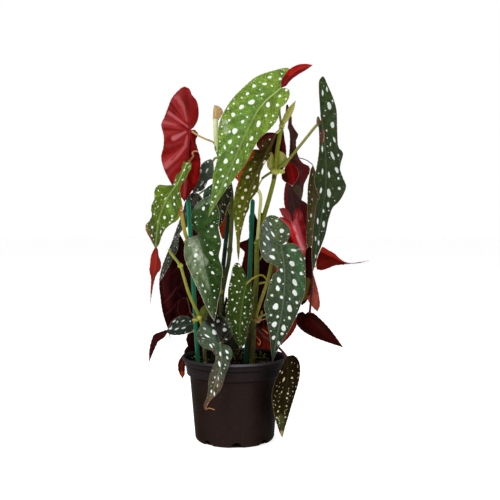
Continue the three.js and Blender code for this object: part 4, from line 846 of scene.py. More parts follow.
        [(262, 309, 54), (264, 335, 66), (262.6, 352, 71), (260, 368, 72)],
        [(255, 312), (252.4, 326), (251.6, 346), (254, 359)],
        [(268, 312), (270.4, 324), (273, 342), (276.6, 350.6), (274, 357), (266, 362)],
        rise=-0.1, ripple=0.8)],
    "leaf_rear_low": [blade(
        [(291, 312, 16), (292.4, 322, 20), (288.6, 332, 23), (280.6, 345.6, 26)],
        [(286.4, 314), (284, 324), (281.6, 336)],
        [(295, 314.6), (297.4, 322), (294.4, 330), (289.6, 336.8), (284.6, 341.8)],
        ripple=0.8)],
    "leaf_rear_small": [blade(
        [(225, 214, 22), (224, 226, 23), (222.6, 239.4, 24)],
        [(221.8, 218), (219, 226), (220.4, 234)],
        [(227, 218), (227.6, 226), (227, 236)],
        ripple=0.4), blade(
        [(231, 197, 20), (229, 206, 21), (225.6, 219, 22.4)],
        [(228.6, 203), (225.6, 212)],
        [(231.6, 204), (230.6, 212)],
        ripple=0.2, rise=0)],
    "leaf_back_crown": [blade(
        [(268, 104, 26), (258, 122, 44), (248, 142, 56), (238, 166, 62)],
        [(262, 98), (252, 103), (242, 116), (234, 134), (232, 152)],
        [(272, 107), (272, 118), (264, 130), (255, 144), (246, 156)],
        left_lobe=0.15, right_lobe=0.1, ripple=2)],
    "leaf_back_left": [blade(
        [(206, 212, 46), (205, 232, 58), (205, 256, 66), (208, 288, 68)],
        [(200, 208), (193, 216), (188.5, 234), (190, 252), (198, 272)],
        [(211, 209), (216, 218), (218, 238), (217, 258), (214, 274)],
        left_lobe=0.15, right_lobe=0.15, turn=-0.4, ripple=2)],
    "leaf_back_right": [blade(
        [(289, 252, 58), (289, 276, 70), (286, 302, 76), (282, 330, 74)],
        [(283, 249), (275, 262), (272, 284), (272.5, 306), (276, 320)],
        [(295, 251), (301, 262), (302.5, 282), (297, 304), (290, 320)],
        left_lobe=0.15, right_lobe=0.15, turn=0.4, ripple=2)],
    "leaf_hanging_left": [blade(
        [(190.6, 332, 30), (190.4, 341, 31), (188.6, 347.6, 33), (184.4, 354.6, 38)],
        [(187.6, 334), (186.2, 340), (187.6, 345.6), (184.4, 350.4)],
        [(203, 332), (205, 341), (204.4, 348), (195, 354)],
        ripple=0.4, turn=0), blade(
        [(184.8, 352.6, 37), (182.8, 360, 40), (181.8, 369, 41), (182.6, 378.6, 41)],
        [(181.8, 356), (178.4, 362), (178, 368.6), (179.8, 374.4)],
        [(185.8, 356), (185.6, 361), (185, 368), (184.6, 374.6)],
        ripple=0.4, turn=0, rise=0)],
}

# Canes: place in the soil, line of the stem, swollen nodes, stipules, and the leaf stalks for add_stalk
CANES = {
    "cane_right": dict(
        root=(251.5, 354, -4),
        stem=[(254.2, 310, -3), (256.5, 277, -2), (257.3, 242.4, -1), (262, 223, 0), (269.5, 197, 0),
            (274.6, 176, 0), (277.3, 150, 0), (281.8, 124.8, -1)],
        nodes=[(257.3, 242.4, -1), (274.9, 171.4, 0), (278.6, 171, -1), (282, 170.6, -1), (281.6, 126, -1)],
        stipules=[
            blade([(274.6, 173, 0), (270.6, 163, 2), (271.4, 152, 2)],
                  [(271.4, 172), (267, 166), (268, 158)], [(274.6, 168), (274, 160), (273, 154)]),
            blade([(276, 173, 0), (282.6, 162, 3), (279.6, 151, 3)],
                  [(276, 168), (275.6, 160), (277, 153.6)], [(281, 171), (288, 162.6), (285, 154)]),
            blade([(282, 126, -1), (288.6, 115, -4), (295.8, 100.6, -8)],
                  [(281.6, 121), (285, 113), (291, 105)], [(285, 124), (290.4, 117), (294, 109)]),
        ],
        stalks=[
            ("leaf_crown", [(281.6, 126, -1), (279.6, 112, -5), (280, 98, -14)]),
            ("leaf_olive", [(281, 129, -1), (278.6, 131, -5)]),
            ("leaf_olive", [(275, 172, 0), (268, 174.6, -4), (262.6, 179, -9)], 0.9, (258, 187, -19.5)),
            ("leaf_olive", [(257.3, 242, -1), (259.4, 215, -9), (260.6, 196, -12)], 2.1,
             (257, 188.6, -20.5)),
            ("leaf_right_tall", [(276, 171, 0), (288, 160, -2), (303, 142, -3), (316, 126, -6)], 1.9),
            ("leaf_rear_tall", [(281.8, 126, -1), (286, 115, 7)]),
            ("leaf_rear_top", [(281, 132, 0), (282.6, 128, 16)]),
            ("leaf_rear_fold", [(275, 172, 1), (283, 165, 3)]),
            ("leaf_rear_wide", [(281.6, 170, 0), (283.2, 163, 7), (285.2, 165, 18)], 0.9),
            ("leaf_right_olive", [(276, 171, 1), (294, 158, 2), (306, 160, 4)], 0.6),
            ("leaf_crimson", [(262, 223, 0), (275, 228, 2), (287, 227, -1)], 1.2),
            ("leaf_rear_centre", [(257.3, 242, 0), (257.6, 230, 16)]),
            ("leaf_back_crown", [(281.6, 128, 0), (279, 114, 8), (273, 106, 16)]),
            ("leaf_back_right", [(256.8, 262, -1), (272, 246, 14), (286, 240, 40)]),
            ("leaf_right_red", [(256.4, 284, -1), (275, 280, 2), (296, 272, 2)]),
            ("leaf_right_rounded", [(296, 272, 2), (308, 271, 7)]),
            ("leaf_right_inner", [(290, 274.4, 2), (300, 256, -3)], 1.1),
            ("leaf_right_low", [(303, 271, 3), (309, 264, 0), (311.8, 272, -3), (311.8, 292, -5),
             (310.6, 304, -7)], PETIOLE_RADIUS, (309.6, 314, -11.6)),
            ("leaf_lower_right", [(255, 318, -3), (262, 297.5, -7), (267.6, 281, -9), (272, 262, -16),
             (277, 250, -30)], 2.3),
            ("leaf_lower_centre", [(267.4, 280, -9), (262, 275.2, -14), (254, 277.6, -22)], 1.1),
            ("leaf_rear_low", [(255, 318, -3), (268, 314, 6)]),
            ("leaf_rear_red", [(255, 318, -3), (257, 322, 20), (260, 320, 42)]),
            ("leaf_hanging_right", [(253.6, 325, -3), (266, 338, -12), (277.5, 346.5, -22),
             (283, 352, -40)]),
        ],
    ),
    "cane_left": dict(
        root=(206, 353, -14),
        stem=[(202, 325, -14), (199.7, 317.7, -14), (194.5, 306, -15), (188.8, 293, -16), (183.6, 276, -17),
            (180.2, 265.5, -18), (174, 257, -20), (168.3, 249.5, -22)],
        nodes=[(199.7, 317.7, -14), (180.2, 265.5, -18)],
        stipules=[
            blade([(200, 320, -14), (204.4, 312, -17), (208, 304.6, -20)],
                  [(199, 315), (200.6, 309), (204, 305.6)], [(204, 320), (207.6, 314), (208.4, 309)]),
        ],
        stalks=[
            ("leaf_lower_left", [(199.7, 318.4, -14), (196, 320.5, -16)]),
            ("leaf_hanging_left", [(204.5, 342, -14), (199, 336, 10), (194.4, 330.6, 22)]),
            ("leaf_left_inner", [(199.7, 318, -14), (192, 314.5, -8), (189, 305, 8)], 0.9),
        ],
    ),
    "cane_centre": dict(
        root=(221, 352, 0),
        stem=[(220.6, 325, 0), (221.7, 299, 2), (225.6, 276, 3), (228.6, 262, 4), (230.6, 240, 4),
            (231.6, 222, 3), (232, 202, 1), (230, 184, -1), (223, 166, -2), (217.4, 150, -3),
            (216.2, 140, -3), (215.6, 121, -4)],
        nodes=[(222, 299, 2), (217.2, 148, -3), (229.8, 250, 4)],
        stipules=[
            blade([(215.4, 124, -4), (216, 114, -5), (214.4, 105, -7)],
                  [(213, 121), (213, 115), (213.4, 109)], [(218.6, 120), (223, 112), (220, 107)]),
        ],
        stalks=[
            ("leaf_left_red", [(217.2, 149, -3), (213.6, 142.6, -3), (205, 138.8, -3), (197, 134.8, -2)],
             1.2, (191.6, 131, 0.6)),
            ("leaf_left_small", [(219, 158, -2), (215.4, 158, 10)]),
            ("leaf_left_dark", [(225, 172, -1), (213, 186, 14), (205, 190, 22)], 1.2),
            ("leaf_centre_dark", [(229, 181, 0), (228, 178, -6)]),
            ("leaf_rear_small", [(231.9, 207, 1.5), (229.5, 203, 12)], 1),
            ("leaf_back_left", [(231.8, 216, 2), (224.4, 205, 17), (214, 208, 34)]),
            ("leaf_centre_left", [(224.4, 278, 3), (213, 262, -12), (202, 243, -26)]),
            ("leaf_left_lime", [(222.6, 292, 2), (208, 272, -6), (192.6, 250, -14), (186, 236, -24),
             (183, 223, -44)], 2.5, (180.8, 211.4, -66)),
            ("leaf_left_maroon", [(221.8, 298, 2), (207, 262, 10), (194, 245, 18)]),
            ("leaf_over_rim", [(220.6, 318, 0), (224, 322, -18), (223, 332, -44)]),
            ("leaf_low_dark", [(221.8, 297, 2.2), (223.2, 300, 6)], 1.1),
        ],
    ),
}

# Stakes: top, place where the stake enters the soil, and its material's name, dark and pale colour
STAKES = {
    # Painted light: the left stake's material is the same green plastic painted lighter, as if lit
    "stake_left": ((188.3, 199.5, 2), (197.6, 356, 2), "stake_lit", (14, 106, 72), (28, 140, 98)),
    "stake_centre": ((252.8, 199, 7), (246.2, 356, 7), "stake_green", (6, 78, 52), (12, 104, 70)),
    # Painted shade: the rear stake's material is the same green plastic painted darker
    "stake_rear": ((228.8, 214, 12), (214, 352, 24), "stake_shaded", (2, 34, 20), (6, 50, 30)),
}


# Spots that the photographed side shows, on the sheet, as whole_mark reads them
MARKS = {
    "leaf_crown": [
        (283.5, 69.8, 0.9, 0.5, 30), (281.8, 73.9, 1.3, 0.9, 10), (269.6, 77.4, 2.2, 1.3, 10),
        (280.2, 79, 1.5), (264.8, 84.1, 2.6, 1.4, 5), (271.9, 86.1, 1.5, 0.8, -40),
        (254.1, 86.2, 2, 1.6, 20), (259.7, 82.3, 1.5, 0.5, 15), (259.9, 89.7, 0.9, 0.8),
        (247.6, 93.9, 2, 1.5, 30), (262.3, 94.6, 2.1, 1.1, 30), (257, 95.9, 1.5, 0.8, 10), (241.8, 97.9, 1),
        (261.7, 98.6, 0.8, 0.7), (251.6, 102.4, 3.7, 2.3, 20), (233.8, 103.7, 1.1), (241.6, 107.2, 3, 2, 35),
        (228.3, 109, 1.3, 1, 30), (267.9, 104.9, 2.8, 2, 80), (279.7, 96.1, 1.7, 1.3, 15),
        (286.4, 90.2, 1.5, 1.2), (277.3, 105.1, 1.8, 1.5, 50), (285.8, 99.1, 1.3, 0.9, 45),
        (233.3, 114.8, 2.2, 2, 90), (240.6, 113.6, 0.9, 0.8), (229.4, 120.4, 1.6, 1.2, 40),
        (227.1, 122.6, 1, 0.9), (265.9, 115.7, 1.6, 1.3, 70), (273, 115.9, 1.4, 1.2, 45),
        (247.3, 117.2, 1.3, 1, 50), (242.7, 121.8, 2.1, 1.5, 50), (258.5, 123.9, 3.5, 2, 75),
        (270.9, 122.6, 1.3, 0.9, 30), (234.9, 131.1, 3.3, 2.5, 60), (229.6, 131.8, 1.7, 1.1, 60),
        (238.9, 137, 1.3, 1.2), (222.1, 134, 1.3, 0.9, 20), (221.8, 126.8, 1.1, 0.9),
        (230, 142, 2.4, 1.8, 55), (251.5, 138.5, 2.5, 1.6, 60), (224.9, 147.6, 2.4, 1.1, 100),
        (220, 141.5, 0.9), (247.2, 144.8, 2, 0.9, 70), (237.6, 146, 1.1, 1), (256.7, 133.6, 0.9, 0.7),
        (232, 152.5, 1.4, 1.2, 60), (245.7, 151.5, 1.1, 0.7, 70), (225.8, 161.3, 2.8, 2, 65),
        (237.5, 161.5, 2.8, 1.4, 75), (220.7, 169.7, 1.3, 1.2), (233.7, 169.1, 1.5, 0.9, 70),
        (222.9, 176.3, 1.3, 1.2), (227.4, 178.2, 1.3, 0.8, 70), (218, 182.1, 1.7, 0.9, 75),
        (225.3, 185.1, 2, 1, 65), (216.3, 187.5, 1.5, 1.3), (215.6, 196.5, 1.5, 0.9, 45),
        (212.3, 202.1, 1.3, 1), (220, 155.2, 0.9, 0.8), (244.7, 126.8, 0.7, 0.5), (254.1, 107.2, 0.7, 0.5),
        (271.7, 73.8, 0.8, 0.5), (255.4, 79.7, 0.8, 0.5), (245.4, 85.6, 0.7, 0.5),
    ],
    "leaf_centre_left": [
        (203.5, 208.5, 2.2, 1.5, 80), (206.9, 203.8, 1.1, 0.7, 30), (195.4, 217.1, 1, 0.6, 30),
        (197.3, 216.2, 0.7, 0.4), (200.7, 216.5, 0.7, 0.5), (195.5, 222.4, 0.9, 0.8),
        (196.8, 224.7, 0.6, 0.5), (193.3, 228.2, 0.5, 0.4), (212.8, 213.5, 1.4, 1, 80),
        (211.8, 226.3, 1.7, 1.3, 30), (214.1, 222.3, 0.8, 0.6), (215.2, 236.7, 1.4, 1.3),
        (208.2, 231.6, 1.2, 0.7, 45), (218.6, 243.8, 0.8, 0.6), (204.5, 240.2, 0.6, 0.5),
        (207.3, 245.2, 0.8, 0.7), (189, 245.5, 0.9, 0.8), (189.5, 238.5, 0.8, 0.6), (196.3, 250.1, 0.8),
        (196, 255.2, 2.5, 1.8, 65), (195, 261, 1.2, 0.9), (195.4, 264.4, 0.8, 0.7), (197.5, 273.1, 1, 0.9),
        (211.3, 253.4, 2.8, 1.5, -45), (213.7, 250.5, 0.7, 0.5), (214.2, 260, 0.8, 0.7),
        (209.5, 267.2, 0.8, 0.6), (212.6, 272.8, 2, 1.2, -45), (216.2, 274.3, 1.2, 0.4, -15),
        (202.8, 285.2, 2, 0.8, -75), (212.4, 284.9, 0.9, 0.8), (214.2, 290.8, 1, 0.9),
        (205.4, 291.5, 1.5, 0.9, -60), (214.5, 297.6, 1, 0.9), (208.4, 299.2, 0.6, 0.5), (208.6, 301.5, 0.5),
        (209.1, 306.6, 1.2, 0.8, 80), (215.7, 313.3, 0.8), (215, 307.5, 0.6, 0.4), (200.7, 269.3, 0.8, 0.6),
    ],
    "leaf_lower_right": [
        (276.6, 220.8, 1.7, 1.1, -20), (281.7, 230.8, 2.3, 2.2), (270.5, 223.9, 2.2, 0.8, -55),
        (266.6, 229.2, 2, 0.6, -58), (272.8, 234.1, 3.4, 1, -58), (267.7, 237.8, 3, 1.1, -52),
        (264.5, 243.9, 2.2, 0.9, -55), (263.4, 250.9, 1.2, 1, -30), (273.3, 249.9, 1.7, 1.4),
        (272.5, 257.2, 3.4, 1.7, -30), (293.4, 250.2, 3.1, 1.4, -5), (287.9, 255.6, 2.1, 1, -30),
        (300.7, 259.4, 1.9, 1, -55), (291.9, 263.6, 3.2, 2.3, -40), (281.3, 270.3, 2.1, 1.4, -60),
        (292.4, 272.3, 1.8, 1.1, -40), (301, 273.5, 1.9, 1.6, -45), (278.9, 280, 3, 1.9, -70),
        (294.5, 282.4, 3.9, 2, -65), (277.7, 288.3, 2.9, 1.9, -75), (283.1, 283.8, 0.9, 0.8),
        (294.5, 292.6, 3.4, 2.1, -60), (272, 295.4, 1.5, 1.3), (281.5, 297.2, 1.8, 1.5, -60),
        (289.5, 298.7, 1.6, 0.8, -80), (296.7, 302.4, 1.8, 1.3, -50), (275.6, 306.6, 3.4, 2.7, 60),
        (289.4, 308.5, 3.7, 2.3, -80), (270.9, 315, 1.4, 1.2), (277.6, 316.6, 1.6, 1.3, 60),
        (289.2, 317.9, 1.8, 1.4, -60), (274.3, 324.3, 3, 2.4, 60), (283.5, 328, 3.3, 2.2, -85),
        (284.1, 320.1, 0.9, 0.8), (281.9, 333.6, 1.7, 1.5), (273.6, 337.5, 2.2, 1.6, 60),
        (278.7, 342.9, 2, 1.5, -80), (270.9, 330.9, 0.9, 0.8), (271.5, 279.9, 0.8), (280.4, 241, 0.7, 0.5),
        (288.3, 234.2, 1.2, 0.8, 40), (281.3, 236.4, 0.9, 0.6, 30), (276.7, 351.7, 0.9, 0.5),
        (281.4, 262.5, 0.8, 0.7),
    ],
    "leaf_lower_centre": [
        (233.8, 265.8, 1.1, 0.7, 80), (239.2, 265.8, 1.7, 1.1, -40), (233.3, 275, 1.4, 1, -40),
        (239, 280.9, 1, 0.9), (242.8, 274.6, 0.9, 0.5, -50), (243.8, 276.1, 0.6, 0.5),
        (229.9, 285.7, 1.3, 0.8, -15), (231, 283.4, 0.8, 0.6), (235, 285.8, 1, 0.8),
        (230.5, 289.1, 0.8, 0.7), (237, 292, 1.1), (242.1, 287.2, 1.2, 0.5, 45), (240, 292, 1.2, 0.5, 50),
        (245.6, 297.1, 1.2, 0.9, 85), (250.8, 290, 1.3, 0.7, -65), (248.6, 293, 1.3, 0.6, 20),
        (239.6, 298.2, 0.7, 0.6), (232.4, 299.6, 1.2, 1), (237, 303.1, 1, 0.8), (252.7, 297.7, 1, 0.5, 70),
        (249.3, 299.8, 0.8), (245.6, 302.4, 0.5), (244.8, 307.2, 1.1, 1), (250.8, 306.3, 2, 0.7, 60),
        (234.4, 309.1, 2.3, 0.8, 65), (236.4, 311.8, 0.8, 0.5, 70), (244.3, 313.3, 1.1, 1),
        (228.3, 313.5, 0.9, 0.7), (249.9, 313.8, 0.8), (249.5, 310.3, 0.6, 0.5), (227.4, 302.9, 0.8, 0.6),
        (226.8, 306.4, 1, 0.7, 80), (228, 298.3, 0.7, 0.5), (225.7, 310.6, 0.7, 0.5),
        (244.9, 317.5, 0.9, 0.6), (235.5, 321.8, 2, 0.8, -65), (242.3, 323.3, 1.4, 0.8, -75),
        (247, 321.5, 1.6, 0.5, 65), (249.1, 317.5, 1.1, 0.4, 60), (245.6, 326.9, 0.8, 0.5, -60),
        (236.4, 332.8, 1, 0.7, -30), (232.4, 326.3, 0.7, 0.5), (244.1, 329.3, 0.8, 0.5, -50),
        (241.4, 335.6, 0.6, 0.5), (238.5, 340.2, 0.7, 0.6), (246.1, 337.1, 0.7, 0.5),
        (239.7, 346.6, 0.7, 0.5), (237.7, 337.6, 0.6, 0.4), (228.6, 318.9, 1.1, 0.5, -60),
        (230.4, 322.6, 0.5), (230.6, 314.8, 0.5, 0.4), (236.4, 329, 0.5, 0.4), (241.8, 319.5, 0.5, 0.4),
        (238.9, 270.5, 0.6, 0.4),
    ],
    "leaf_over_rim": [
        (218.1, 321.3, 1.7), (224.5, 324.6, 0.9), (212.7, 325.4, 1.9, 1.3, -40), (224.6, 329.8, 2, 1.9),
        (214.2, 332.5, 2.9, 1.9, -60), (226.2, 339.4, 1.3, 0.8), (204.6, 328.6, 2, 0.9, -35),
        (207, 335.9, 3.3, 0.9, -32), (201.2, 335.2, 1.2, 0.6, -30), (203.4, 338.5, 2, 0.6, -12),
        (202.7, 341.4, 1.2, 0.5, 15), (201.9, 343.4, 0.8, 0.4), (211, 345.9, 2.5, 1, -55),
        (213.6, 344.5, 1.6, 0.5, -50), (220.4, 354.2, 2.5, 1.1, -75), (226.9, 351.9, 2.3, 1.2, -50),
        (227.2, 357.9, 1.9, 1.1, -62), (219.4, 364, 3.2, 1.1, -75), (225.2, 364.9, 0.9, 0.8),
        (224.1, 368.4, 0.8, 0.7), (221.4, 373.3, 1.5, 0.5, -70), (214.9, 377.3, 1.3, 0.6, 80),
        (218.2, 377.6, 2.7, 0.7, -80), (213.1, 382.3, 0.9, 0.7), (217.5, 385.6, 1.7, 0.6, 85),
        (211.4, 391.3, 1.7, 0.8, 90), (214.4, 393.7, 2.5, 0.7, 88), (208.1, 404, 1.6, 0.6, 60),
    ],
    "leaf_right_tall": [
        (326.8, 89.4, 2.7, 0.9, -80), (322.5, 93.2, 3.4, 0.9, -88), (332.3, 101, 1.3, 0.9, -60),
        (329.1, 106, 4, 1.9, -78), (321.3, 82.8, 0.7, 0.5), (323.4, 85.8, 0.9, 0.4, 90),
        (325.1, 110.5, 0.8, 0.6), (323.8, 115.8, 0.9, 0.7), (332.2, 124.9, 3.2, 1.9, -85),
        (334.6, 114, 0.6, 0.5), (326.4, 130.6, 1.2, 0.7, -80), (334.2, 140, 3, 1, -72),
        (330.2, 144.3, 2.1, 0.6, 80), (327, 138, 1.1, 0.6, 50), (327.2, 146.3, 0.9, 0.5, -30),
        (322.2, 149.3, 3.4, 0.8, -88), (332.2, 155.6, 4.6, 1.3, -68), (338.1, 155.3, 1.5, 1, -80),
        (328.3, 152.4, 0.6, 0.5), (329.4, 157.5, 0.7, 0.5), (336.6, 170, 3.2, 1.5, -68),
        (322.3, 171.5, 3.3, 0.8, 88), (318.5, 173.3, 0.8, 0.7), (328.8, 175, 3.3, 1.1, -82),
        (338.2, 178.3, 1.5, 1.1, -80), (339, 188.4, 1.7, 1.4, -60), (320.7, 190.4, 3.2, 1.1, 80),
        (328.8, 193.2, 4.4, 1.9, -82), (327.9, 204.8, 2.8, 1.2, -88), (334.4, 200.8, 0.8, 0.7),
        (323.2, 210.9, 2.1, 1, -80), (328.4, 210.5, 0.8, 0.7), (317.5, 221.1, 3.3, 0.9, 90),
        (323.4, 224.1, 3.3, 1.3, 90), (321.4, 231.2, 0.8, 0.6), (319.5, 234.6, 0.5),
        (315.4, 238.3, 2.5, 0.7, 90), (318.4, 242.6, 2.7, 0.9, -88), (315.4, 256.1, 1.9, 0.8, 90),
        (320.6, 180.3, 0.5), (332.5, 188.6, 0.6, 0.5), (324.7, 195.2, 0.6, 0.5), (332.5, 197.2, 0.5),
    ],
    "leaf_right_olive": [
        (310.4, 185.3, 0.7, 0.6), (309.3, 191.9, 0.9, 0.7, -80), (312.2, 199.5, 1.7, 0.8, -60),
        (310.2, 204.3, 0.7, 0.5), (310.8, 215.4, 2.1, 0.9, 85), (308.5, 220.7, 0.9, 0.5, 85),
        (312.5, 174.7, 1.7, 0.5, -75), (312, 236.7, 0.9, 0.5, 80), (310.6, 229, 0.7, 0.5),
    ],
    "leaf_olive": [
        (269.7, 139.4, 1.1, 0.8, 30), (262.6, 145.8, 0.7, 0.6), (264.3, 161.8, 2.2, 1.2, 45),
        (263.7, 165.4, 1.9, 0.8, 50), (264.9, 156.5, 1.2, 0.6, 20), (250.4, 169.5, 1.9, 1.1, 45),
        (247.5, 177.1, 2.1, 1.5, 30), (254.7, 161.8, 1, 0.6), (254.2, 165.3, 0.7, 0.5),
        (257.1, 175.5, 1.3, 0.8, 60), (254.2, 187.3, 2.4, 1, 60), (245.6, 190.1, 1.6, 1.5, 40),
        (240.2, 188, 1.7, 0.5, 45), (242.5, 197.8, 1.9, 1.5, 70), (251.8, 194, 1.5, 0.8, 50),
        (239.4, 206.3, 1.5, 1.4), (245.5, 208.8, 1.7, 0.8, 70), (244.1, 214.3, 1.5, 0.8, 65),
        (238.1, 218.3, 1.5, 1.2), (240, 211.6, 0.7, 0.6), (245.1, 183.1, 0.7, 0.5), (251.5, 173.7, 0.7, 0.5),
        (254.5, 181.7, 0.6, 0.5), (247.2, 201.1, 0.9, 0.5, 60), (237.8, 225.4, 0.8),
        (240.6, 228.2, 1.1, 0.6, 70), (236.4, 231, 1, 0.6, 80), (258.9, 181.4, 0.6, 0.4),
        (252.8, 157.2, 0.9, 0.5), (249.4, 181.8, 0.6, 0.4), (237, 193, 0.7, 0.4, 40),
        (235.5, 200.6, 0.6, 0.4), (236.2, 214.3, 0.5, 0.4), (235.3, 207.5, 0.5, 0.4),
    ],
    "leaf_left_lime": [
        (187.2, 163.5, 1.3, 0.6, -20), (184.2, 170.2, 1.4, 0.8, 45), (188.9, 167.3, 0.6, 0.4, 60),
        (182.7, 179.6, 1.4, 0.6, 30), (174.7, 184.5, 1.1, 0.8, 20), (175.8, 180.3, 1.3, 0.4, 70),
        (158.4, 190.5, 0.9, 0.8, -30), (161.8, 194.9, 1.2, 0.9, 10), (165.5, 198.6, 1.9, 0.6, 55),
        (178.6, 193.5, 1.4, 0.6, 55), (174.1, 197.6, 1.5, 0.9, 88), (174.4, 204.4, 1.6, 1, 90),
        (167.7, 206.2, 1.7, 1.2, 90), (155.9, 201.7, 1.3, 0.6, 50), (154, 203.9, 0.8, 0.4, 60),
        (158.1, 206.8, 1.6, 0.5, 60), (161.8, 205.7, 0.6, 0.5), (161.5, 200.1, 0.6, 0.5),
        (155.7, 208.4, 0.6, 0.5), (154.3, 214.2, 1.4, 0.6, 85), (164.6, 217.6, 1.7, 1.3, 90),
        (172.3, 216.2, 1.3, 1.1, 60), (172.1, 219.6, 1.1, 0.9, 20), (169.9, 222.4, 1.1, 0.9, 30),
        (158.2, 221.7, 1.5, 0.6, 80), (152.4, 227.3, 1.5, 1.1, 88), (162.7, 227.3, 0.7, 0.6),
        (147.5, 227.9, 0.7, 0.6), (149.5, 229.5, 0.6, 0.4), (151.9, 235.6, 1.3, 0.8, -60),
        (156.5, 233.3, 1.5, 0.5, 90), (160.8, 231.9, 1.8, 0.6, 75), (174.4, 209.3, 0.4),
        (162.1, 210.6, 0.5, 0.3), (179.1, 198.6, 0.5, 0.4),
    ],
    "leaf_hanging_right": [
        (291.6, 362.4, 1.1, 0.5, 45), (292.5, 370.8, 0.7, 0.6), (287.4, 368.5, 0.5, 0.4),
        (297.6, 365.4, 0.8, 0.5), (297.6, 367.4, 0.8, 0.6), (298.3, 372.9, 0.6, 0.5),
        (298.9, 376.7, 0.7, 0.6), (291.9, 377.9, 1.2, 1), (283.7, 379.5, 2.7, 0.7, 65),
        (292.9, 382.8, 0.7, 0.6), (292.5, 386.6, 0.5), (282.1, 372.6, 1.3, 0.5, 60),
        (280.1, 371.4, 1.4, 0.4, 50), (276.6, 385.8, 0.7, 0.5), (279.4, 386.4, 0.9, 0.4, 20),
        (282.7, 387.6, 0.6, 0.5), (279.8, 382.5, 0.7, 0.4), (288.6, 388.4, 0.7, 0.6),
        (292.8, 391.4, 0.8, 0.7), (287.8, 393.5, 1.1, 1), (286.8, 398.1, 1.1, 1), (281.6, 392, 1.6, 0.5, 60),
        (277, 390.8, 1, 0.5, 60), (279.6, 394, 0.9, 0.5), (275.6, 396.7, 0.6, 0.5),
        (279.7, 396.9, 0.8, 0.5, 60), (278.4, 401.1, 1.2, 0.5, 50), (273.6, 400.5, 0.8, 0.5),
        (273.5, 404, 0.6, 0.5, 90), (279.4, 406.6, 0.8, 0.7), (286.5, 405.9, 0.8), (287.5, 401.6, 0.5),
        (287, 409.2, 0.5, 0.4), (278, 411.2, 1.3, 0.8, 60), (284.4, 411.2, 0.7, 0.6, 90),
        (284.5, 413.4, 0.8, 0.6), (285.2, 417, 1, 0.8), (276.7, 417.5, 1.1, 0.8), (279.4, 416.6, 0.5),
        (279, 420.1, 0.8, 0.6), (279.4, 422.9, 0.7, 0.6), (283, 422.1, 0.8, 0.7), (279.2, 426.3, 0.7, 0.4),
        (274.3, 415.6, 0.7, 0.5), (273.6, 412.9, 0.7, 0.5), (292.5, 396.4, 0.7, 0.4, 80),
    ],
    "leaf_lower_left": [
        (174.1, 321.2, 2.3, 0.6, 38), (177.2, 321.8, 1.4, 0.7, 60), (182.9, 320.8, 2, 0.6, 30),
        (190.2, 321.1, 1, 0.6, 10), (180.5, 323.5, 0.5, 0.4), (171.6, 326.3, 0.9, 0.4, 35),
        (170.4, 328.5, 1.9, 0.9, 25), (177, 328.5, 2.7, 0.9, 32), (183.6, 327.8, 2.6, 0.9, 20),
        (185.2, 332.3, 1, 0.6, -10), (188, 317.6, 0.7, 0.3),
    ],
    "leaf_left_small": [
        (208, 162, 1.1, 0.9), (207.5, 171, 2.8, 1.4, 70), (201.1, 171.2, 2.4, 1, 82),
        (201.8, 183, 3.5, 1.3, 62), (205.1, 184.8, 2.2, 0.9, 62), (197.7, 189.7, 1.5, 0.8, 60),
        (211, 189.7, 1.7, 1.3), (206.4, 194, 0.9, 0.8), (193.4, 196.2, 2.4, 0.7, 60),
        (191.2, 202.7, 2.2, 0.7, 60),
    ],
}
